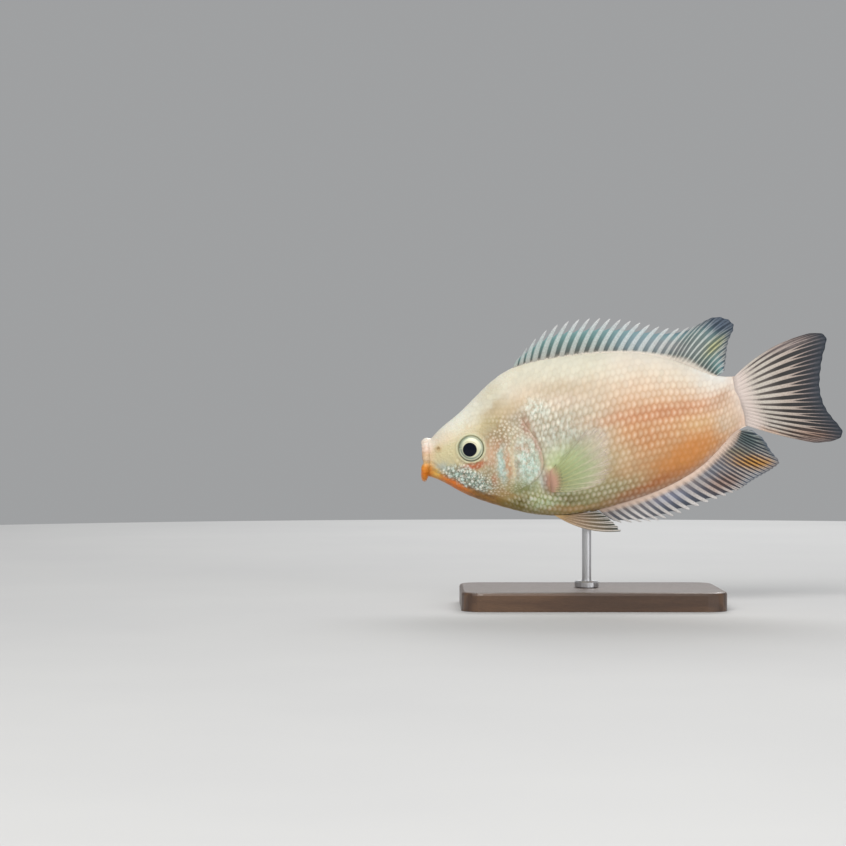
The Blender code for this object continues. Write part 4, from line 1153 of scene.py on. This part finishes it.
def lip_colours(paint, place, colour):
    """The lips and the skin right behind them: pale pink above and orange below, with painted shade in the lips'
    folds and near-black painted shade inside the mouth.
    """
    x, z = place.axis("X"), place.axis("Z")
    wave = (place.noise(1.1) - 0.5) * 2.4
    tone = (z + wave).ease(52.5, 73.5).ramp([
        (0, 0.78, 0.48, 0.32), (0.03, 0.76, 0.26, 0.03), (0.12, 0.74, 0.21, 0.01), (0.3, 0.74, 0.29, 0.035),
        (0.42, 0.74, 0.49, 0.23), (0.52, 0.76, 0.57, 0.38), (0.66, 0.7, 0.49, 0.31), (0.8, 0.79, 0.61, 0.5),
        (0.92, 0.84, 0.73, 0.64), (1, 0.86, 0.8, 0.71),
    ])
    reach = x + (place.noise(0.7) - 0.5) * 2
    # Painted shade in the troughs of the lips' folds.
    crease_shade = paint.number("fold").ease(0.1, -1) * 0.32
    tone = tone.lay(tone.tint((0.84, 0.68, 0.6)), crease_shade)
    colour = colour.lay(tone, reach.ease(-83.6, -88.6))
    y = paint.math("ABSOLUTE", place.axis("Y"))
    up = (z - LIP_CENTRE_Z / MM) / 5.6
    inside = (y / 2.2) ** 2 + up ** 2
    # Near-black painted shade inside the mouth and at its opening.
    mouth_shade = inside.ease(1.25, 0.75) * x.ease(-90, -88.2)
    mouth_shade = paint.math("MAXIMUM", mouth_shade, place.patch(-90.9, 62.8, 0.8, 1.8) * 0.75)
    return colour.lay((0.05, 0.018, 0.012), mouth_shade)


FLESH_RADIUS = (1, 0.55, 0.35)


def skin_material():
    paint = Paint("gourami skin")
    place = paint.place()
    colour, silver, _ = markings(paint, place)
    colour = lip_colours(paint, place, colour)
    nostril = place.patch(NOSTRIL[0] / MM, NOSTRIL[1] / MM, 1.3, 1.1, 20)
    colour = colour.lay((0.36, 0.23, 0.09), nostril * 0.7)
    orbit = paint.vector("DISTANCE", place.stretch((1, 0, 1)), (EYE.x / MM, 0, EYE.z / MM))
    ring = orbit.band(4.9, 5.3, 6.9, 5.9)
    colour = colour.lay((0.64, 0.65, 0.44), ring * 0.75)
    groove = orbit.ease(5.7, 5.2) * 0.6
    colour = colour.lay((0.3, 0.33, 0.21), groove)
    speckle = place.noise(1.6, 4, 0.7)
    colour = colour.tint((0.9, 0.87, 0.84)).lay(colour, speckle.ease(0.35, 0.75))
    dots = {"Vector": place, "Scale": 0.8, "Randomness": 0.75}
    pebble = paint.value("ShaderNodeTexVoronoi", dots, "Distance").ease(0.62, 0.1)
    spotted = colour.tint((0.5, 0.54, 0.5)).lay((0.78, 0.84, 0.78), pebble)
    colour = colour.lay(spotted, silver.ease(0.3, 0.9) * 0.55)
    bump = paint.bump(pebble, 0.00008)
    bump = paint.bump(place.noise(3, 4), 0.00007, bump)
    roughness = silver.ease(0, 1, 0.48, 0.36)
    return paint.finish(
        Base_Color=colour, Roughness=roughness, Normal=bump, Specular_IOR_Level=0.32, Coat_Weight=0.18,
        Coat_Roughness=0.22, Subsurface_Weight=0.1, Subsurface_Radius=FLESH_RADIUS, Subsurface_Scale=0.0015,
    )


def scale_material():
    """Each plate has a pale upright spot where it shows, partly its pearly colour and partly a painted highlight,
    with darker borders, partly pigment and partly painted shade where the plate in front overlaps it, plainer in
    some places.
    """
    paint = Paint("gourami scales")
    place = paint.place()
    colour, silver, loose = markings(paint, place)
    amount = scale_strength(paint, loose)
    across, along, chance = paint.number("across"), paint.number("along"), paint.number("chance")
    wander = (place.noise(0.9, 3, 0.6) - 0.5) * 0.35
    side = ((across + wander) / 0.46) ** 2
    back = wander * 0.6 + along - 0.7
    back = (back / 0.18) ** 2
    # Pale spot on each plate: partly the scales' pearly colour, partly a painted highlight.
    spot_and_highlight = (side + back).fall()
    wide = (across / 0.78) ** 2
    deepness = ((along - 0.68) / 0.32) ** 2
    # Darker borders round the shown part of each plate: partly pigment, partly painted shade where the plate in
    # front overlaps it.
    edge = (wide + deepness + wander).ease(0.3, 1.45)
    fleck = place.noise(1.5, 3, 0.7).ease(0.4, 0.62)
    pale = colour.lay((0.98, 0.86, 0.7), 0.58)
    pale = pale.lay((0.88, 0.92, 0.84), silver)
    border_tone_and_shade = colour.tint(paint.mix(silver, (0.84, 0.7, 0.56), (0.5, 0.56, 0.52)))
    spread = chance * silver.ease(0, 1, 0.26, 1.05) + silver.ease(0, 1, 0.42, 0.16)
    net = amount * silver.ease(0, 1, 0.5, 0.62)
    colour = colour.lay(border_tone_and_shade, paint.math("MULTIPLY", edge, net, clamp=True))
    uneven = silver * (fleck * 1.3 - 0.6) + 1
    spot_highlight_share = paint.math("MULTIPLY", spot_and_highlight * amount, spread * uneven, clamp=True)
    colour = colour.lay(pale, spot_highlight_share)
    streak = place.stretch((1, 1, 0.5)).noise(0.62, 4, 0.7)
    dull = silver * streak.ease(0.5, 0.38) * 0.8
    colour = colour.lay(colour.tint((0.7, 0.5, 0.4)), dull)
    glint = silver * streak.ease(0.49, 0.59) * 0.8
    colour = colour.lay((0.88, 0.93, 0.86), glint)
    colour = colour.tint(chance.ramp([(0, 0.95, 0.94, 0.93), (1, 1.04, 1.03, 1.02)]))
    tint = place.noise(0.9, 2).ramp([
        (0.3, 0.74, 0.97, 0.95), (0.5, 1, 1, 1), (0.7, 1, 0.83, 0.76),
    ])
    colour = colour.lay(colour.tint(tint), silver * 0.8)
    roughness = spot_and_highlight.ease(0, 1, 0.44, 0.32)
    wave = {"Vector": place, "Scale": 2.6, "Distortion": 3, "Detail": 2}
    bump = paint.bump(paint.value("ShaderNodeTexWave", wave, "Fac"), 0.00002)
    return paint.finish(
        Base_Color=colour, Roughness=roughness, Normal=bump, Metallic=silver * 0.22,
        Specular_IOR_Level=0.32, Coat_Weight=0.14, Coat_Roughness=0.2, Subsurface_Weight=0.1,
        Subsurface_Radius=FLESH_RADIUS, Subsurface_Scale=0.0012,
    )


def fin_material(name, rays, webs, base, rim, alpha=(0.93, 1), patches=(), roughness=0.4, fringe=1):
    """Rays over a membrane, coloured along the ray.

    base is the root's tone, then its reach at a low and a high ray number; rim is the outer edge's tone and the
    ray number where it starts; alpha is the membrane's and the rays'.
    """
    paint = Paint(name)
    place = paint.place()
    ray, share, edge, number = (paint.number(key) for key in ("ray", "share", "edge", "number"))
    grain = place.noise(1.2, 4, 0.65) - 0.5
    loose = grain * 0.16 + share
    bones, web = loose.ramp(rays), loose.ramp(webs)
    stirred = place.shift(place.stir(0.3, 2, 0.5).stretch((3, 0, 3)))
    for px, pz, long, high, turn, on_ray, on_web, strength in patches:
        amount = paint.math("MULTIPLY", stirred.patch(px, pz, long, high, turn, 1.2), strength, clamp=True)
        bones, web = bones.lay(on_ray, amount), web.lay(on_web, amount)
    beads = place.noise(1.9, 2, 0.5)
    bones = bones.lay(bones.tint((0.85, 0.83, 0.82)), beads.ease(0.6, 0.38))
    colour = web.lay(bones, ray.ease(0, 0.75))
    tone, low, low_reach, high, high_reach = base
    reach = number.ease(low, high, low_reach, high_reach)
    root = ((grain * 0.1 + share) / reach).ease(1, 0.15)
    colour = colour.lay(tone, root)
    rim_tone, rim_from = rim
    outer = edge.ease(0.8, 1) * number.ease(rim_from, rim_from + 2.5)
    colour = colour.lay(rim_tone, outer * 0.6)
    solid = ray.ease(0, 0.5, *alpha) * edge.ease(0.78, 1, 1, fringe)
    solid = solid * number.ease(0.7, 1.7, fringe, 1)
    solid = paint.math("MAXIMUM", solid, share.ease(0.22, 0.02))
    fine = paint.math("SINE", number * 75)
    return paint.finish(
        Base_Color=colour, Alpha=solid, Roughness=roughness, Normal=paint.bump(fine, 0.00003),
        Specular_IOR_Level=0.3, Coat_Weight=0.1, Coat_Roughness=0.2,
    )


def dorsal_material():
    return fin_material(
        "dorsal fin",
        [(0, 0.44, 0.42, 0.37), (0.2, 0.44, 0.49, 0.46), (0.5, 0.49, 0.58, 0.56), (0.8, 0.56, 0.6, 0.6),
         (1, 0.66, 0.66, 0.66)],
        [(0, 0.34, 0.31, 0.25), (0.1, 0.09, 0.1, 0.09), (0.4, 0.11, 0.21, 0.2), (0.62, 0.18, 0.33, 0.33),
         (0.75, 0.12, 0.24, 0.28), (1, 0.03, 0.05, 0.07)],
        ((0.76, 0.69, 0.6), 6, 0.04, 20, 0.15),
        ((0.04, 0.06, 0.09), 18.5),
        patches=[
            (4, 114.5, 15, 5, -3, (0.56, 0.63, 0.66), (0.22, 0.32, 0.37), 0.75),
            (20, 112, 14, 3, -4, (0.58, 0.55, 0.54), (0.28, 0.25, 0.26), 0.65),
            (28, 113, 8, 7, 45, (0.6, 0.65, 0.62), (0.17, 0.21, 0.2), 0.85),
            (36, 112.4, 6.5, 2.6, 46, (0.66, 0.66, 0.32), (0.17, 0.19, 0.09), 0.9),
            (41, 108, 4, 5, 40, (0.42, 0.44, 0.4), (0.1, 0.11, 0.1), 0.7),
            (39, 121.5, 8.5, 6, -10, (0.07, 0.11, 0.17), (0.012, 0.025, 0.05), 0.95),
        ],
    )


def anal_material():
    return fin_material(
        "anal fin",
        [(0, 0.62, 0.52, 0.46), (0.2, 0.46, 0.43, 0.42), (0.5, 0.52, 0.49, 0.47), (1, 0.72, 0.7, 0.68)],
        [(0, 0.46, 0.37, 0.33), (0.2, 0.22, 0.19, 0.19), (0.5, 0.09, 0.1, 0.13), (1, 0.04, 0.05, 0.07)],
        ((0.78, 0.6, 0.49), 4, 0.22, 20, 0.15),
        ((0.1, 0.14, 0.2), 15),
        patches=[
            (16, 47, 9, 3, 14, (0.52, 0.54, 0.62), (0.18, 0.21, 0.31), 0.65),
            (2, 39, 10, 3.5, 6, (0.78, 0.75, 0.74), (0.2, 0.2, 0.21), 0.75),
            (36, 59, 8, 3.2, 36, (0.32, 0.34, 0.38), (0.13, 0.15, 0.19), 0.75),
            (40, 53.5, 9, 4, 20, (0.44, 0.28, 0.22), (0.08, 0.045, 0.035), 0.8),
            (46, 66.5, 7, 2.4, -3, (0.36, 0.3, 0.17), (0.06, 0.05, 0.03), 0.7),
            (53, 62, 10.5, 3, -4, (0.76, 0.4, 0.1), (0.11, 0.045, 0.01), 1),
            (49.5, 72.2, 8, 5, -20, (0.13, 0.2, 0.2), (0.03, 0.05, 0.055), 0.9),
            (58.2, 68.8, 6.5, 1.8, -51, (0.13, 0.15, 0.14), (0.03, 0.04, 0.04), 0.85),
        ],
    )


def caudal_material():
    return fin_material(
        "caudal fin",
        [(0, 0.78, 0.68, 0.6), (0.3, 0.66, 0.61, 0.54), (0.55, 0.54, 0.46, 0.4), (0.72, 0.42, 0.34, 0.3),
         (0.86, 0.2, 0.17, 0.175), (1, 0.04, 0.05, 0.07)],
        [(0, 0.72, 0.6, 0.53), (0.12, 0.6, 0.53, 0.48), (0.24, 0.16, 0.135, 0.12), (0.5, 0.035, 0.03, 0.028),
         (1, 0.015, 0.02, 0.028)],
        ((0.82, 0.7, 0.64), 1, 0.18, 16, 0.28),
        ((0.03, 0.04, 0.055), -4),
        alpha=(0.95, 1),
        patches=[
            (78, 74, 10, 2.2, -10, (0.46, 0.28, 0.2), (0.12, 0.07, 0.05), 0.6),
            (58, 75.5, 9, 1.6, -16, (0.78, 0.55, 0.42), (0.5, 0.34, 0.26), 0.75),
            (67.5, 113, 12, 2.4, 21, (0.46, 0.38, 0.35), (0.27, 0.22, 0.21), 0.8),
            (80.5, 71, 10, 1.4, -4, (0.52, 0.41, 0.36), (0.3, 0.21, 0.18), 0.8),
        ],
    )


def pectoral_material():
    return fin_material(
        "pectoral fin",
        [(0, 0.66, 0.46, 0.26), (0.16, 0.64, 0.68, 0.3), (0.5, 0.68, 0.69, 0.45), (1, 0.82, 0.66, 0.62)],
        [(0, 0.62, 0.66, 0.32), (0.5, 0.58, 0.65, 0.39), (1, 0.8, 0.63, 0.58)],
        ((0.72, 0.43, 0.31), 1, 0.05, 11, 0.05),
        ((0.64, 0.58, 0.54), 20),
        patches=[(-34.3, 54, 3.2, 5, 12, (0.72, 0.43, 0.31), (0.72, 0.43, 0.31), 1)],
        alpha=(0.24, 0.5),
        fringe=0,
    )


def pelvic_material():
    return fin_material(
        "pelvic fin",
        [(0, 0.62, 0.42, 0.22), (0.4, 0.6, 0.46, 0.34), (1, 0.64, 0.62, 0.58)],
        [(0, 0.5, 0.32, 0.14), (0.3, 0.42, 0.29, 0.19), (0.6, 0.26, 0.2, 0.13), (1, 0.03, 0.05, 0.045)],
        ((0.62, 0.42, 0.2), 1, 0.1, 6, 0.1),
        ((0.1, 0.12, 0.12), 20),
    )


def eye_material():
    paint = Paint("gourami eye")
    place = paint.place()
    pupil, disc, turn = paint.number("pupil"), paint.number("disc"), paint.number("turn")
    grain = (place.noise(1.8, 3, 0.6) - 0.5) * 0.5
    iris = (disc + grain).ease(2.6, 5.4).ramp([
        (0, 0.66, 0.64, 0.43), (0.22, 0.68, 0.68, 0.48), (0.48, 0.62, 0.65, 0.47), (0.66, 0.56, 0.59, 0.42),
        (0.8, 0.42, 0.46, 0.33), (0.91, 0.27, 0.31, 0.22), (1, 0.22, 0.26, 0.18),
    ])
    # Painted shade on the iris's lower left.
    shaded_side = paint.math("COSINE", turn + 2.45).ease(0, 1) * 0.6
    iris = iris.lay((0.12, 0.15, 0.11), shaded_side * disc.ease(3.2, 4.2))
    # Painted light on the iris's upper right: paler and yellower there, on the inner and the outer iris.
    lit_side = paint.math("COSINE", turn - 0.9).ease(0.3, 1)
    lit_iris = iris.lay((0.86, 0.82, 0.62), lit_side * 0.6)
    iris = iris.lay(lit_iris, disc.ease(4.7, 4.2))
    lit = lit_side * 0.55 * disc.ease(4.5, 4.9)
    iris = iris.lay((0.52, 0.52, 0.38), lit)
    below = paint.math("SINE", turn).ease(0.1, -0.4)
    arc = disc.band(3.75, 4.2, 4.75, 4.35)
    iris = iris.lay((0.2, 0.25, 0.2), arc * below * 0.7)
    crescent = disc.band(4.4, 4.7, 5.2, 4.95)
    iris = iris.lay((0.62, 0.62, 0.44), crescent * below * 0.75)
    lash = pupil.band(3.1, 3.4, 3.9, 3.6)
    above = paint.math("SINE", turn).ease(0.3, 0.9)
    iris = iris.lay((0.3, 0.26, 0.15), lash * above * 0.45)
    colour = iris.lay((0.004, 0.006, 0.012), pupil.ease(3.06, 2.92))
    metallic = pupil.ease(2.9, 3.1) * disc.ease(4.6, 4.2, 0, 0.15)
    return paint.finish(
        Base_Color=colour, Roughness=pupil.ease(2.8, 3.2, 0.1, 0.46), Metallic=metallic,
        Specular_IOR_Level=pupil.ease(2.9, 3.2, 0, 0.25), Coat_Weight=0.5, Coat_Roughness=0.04, Coat_IOR=1.34,
    )


def wood_material():
    paint = Paint("walnut")
    at = paint.place()
    stretched = at.stretch((0.1, 1, 1))
    rings = paint.value("ShaderNodeTexWave", {
        "Vector": stretched, "Scale": 0.07, "Distortion": 7, "Detail": 4, "Detail Scale": 1.4,
    }, "Fac", bands_direction="Y")
    fibre = at.stretch((0.25, 4, 4)).noise(1.2, 5, 0.7)
    colour = rings.ramp([(0, 0.072, 0.036, 0.019), (0.5, 0.095, 0.048, 0.025), (1, 0.13, 0.069, 0.036)])
    colour = colour.tint((0.7, 0.68, 0.66)).lay(colour, fibre.ease(0.35, 0.75))
    bump = paint.bump(fibre, 0.00005)
    return paint.finish(
        Base_Color=colour, Roughness=fibre.ease(0.3, 0.8, 0.48, 0.34), Normal=bump, Coat_Weight=0.25,
        Coat_Roughness=0.18,
    )


def steel_material():
    paint = Paint("brushed steel")
    at = paint.place()
    brushed = at.stretch((1, 1, 14)).noise(1.5, 4, 0.7)
    tone = brushed.ramp([(0.25, 0.5, 0.5, 0.51), (0.75, 0.68, 0.68, 0.69)])
    return paint.finish(
        Base_Color=tone, Metallic=1, Roughness=brushed.ease(0.2, 0.8, 0.24, 0.38),
        Normal=paint.bump(brushed, 0.00002),
    )


# Stage

FLOOR_SIDES, FLOOR_RADIUS, FLOOR_Z = 96, 0.9, -0.0001
WORLD_TONE, WORLD_STRENGTH = (0.62, 0.63, 0.64, 1), 0.56
LIT_POINT = Vector((0, 0, 0.075))
# The lamps, as (name, place, size, energy, colour)
LIGHTS = (
    ("key", (-0.5, -1.15, 1.05), (0.9, 0.7), 18, (1, 0.985, 0.96)),
    ("fill", (0.85, -1.1, 0.4), (0.9, 0.9), 5.6, (0.97, 0.985, 1)),
    ("back", (0.2, 1, 0.8), (0.8, 0.5), 7, (1, 1, 1)),
)
CAMERA_PLACE = (-0.0901, -1, 0.0789)
SENSOR_WIDTH, LENS = 36, 98.6


def add_light(name, place, size, energy, colour):
    data = bpy.data.lights.new(name, "AREA")
    data.shape, data.energy, data.color = "RECTANGLE", energy, colour
    data.size, data.size_y = size
    made = bpy.data.objects.new(name, data)
    made.location = place
    bpy.context.scene.collection.objects.link(made)
    made.rotation_euler = (LIT_POINT - made.location).to_track_quat("-Z", "Y").to_euler()


def make_stage():
    turns = [2 * math.pi * k / FLOOR_SIDES for k in range(FLOOR_SIDES)]
    rim = [(FLOOR_RADIUS * math.cos(turn), FLOOR_RADIUS * math.sin(turn), FLOOR_Z) for turn in turns]
    mesh = bpy.data.meshes.new("floor")
    mesh.from_pydata(rim, [], [list(range(FLOOR_SIDES))])
    paint = Paint("pale floor")
    at = paint.at()
    tone = at.noise(6, 3).ramp([(0.3, 0.54, 0.54, 0.54), (0.7, 0.57, 0.57, 0.565)])
    mesh.materials.append(paint.finish(Base_Color=tone, Roughness=0.75))
    floor = bpy.data.objects.new("floor", mesh)
    bpy.context.scene.collection.objects.link(floor)

    world = bpy.data.worlds.new("studio")
    world.use_nodes = True
    background = world.node_tree.nodes["Background"]
    background.inputs["Color"].default_value = WORLD_TONE
    background.inputs["Strength"].default_value = WORLD_STRENGTH
    bpy.context.scene.world = world

    for light in LIGHTS:
        add_light(*light)

    camera_data = bpy.data.cameras.new("camera")
    camera_data.sensor_width, camera_data.lens = SENSOR_WIDTH, LENS
    camera_data.clip_start = 0.01
    camera = bpy.data.objects.new("camera", camera_data)
    camera.location = CAMERA_PLACE
    camera.rotation_euler = (math.radians(90), 0, 0)
    bpy.context.scene.collection.objects.link(camera)
    bpy.context.scene.camera = camera
    bpy.context.scene.view_settings.view_transform = "Standard"
    bpy.context.scene.view_settings.look = "None"


def main():
    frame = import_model()
    skin = make_skin(skin_material())
    make_coat(skin, scale_material())
    make_fins()
    eye = eye_material()
    make_eye(-1, "eye_left", eye)
    make_eye(1, "eye_right", eye)
    wood, steel = wood_material(), steel_material()
    for node, material in (("stand_base", wood), ("stand_rod", steel), ("stand_collar", steel)):
        frame["nodes"][node].data.materials.clear()
        frame["nodes"][node].data.materials.append(material)
    make_stage()


main()
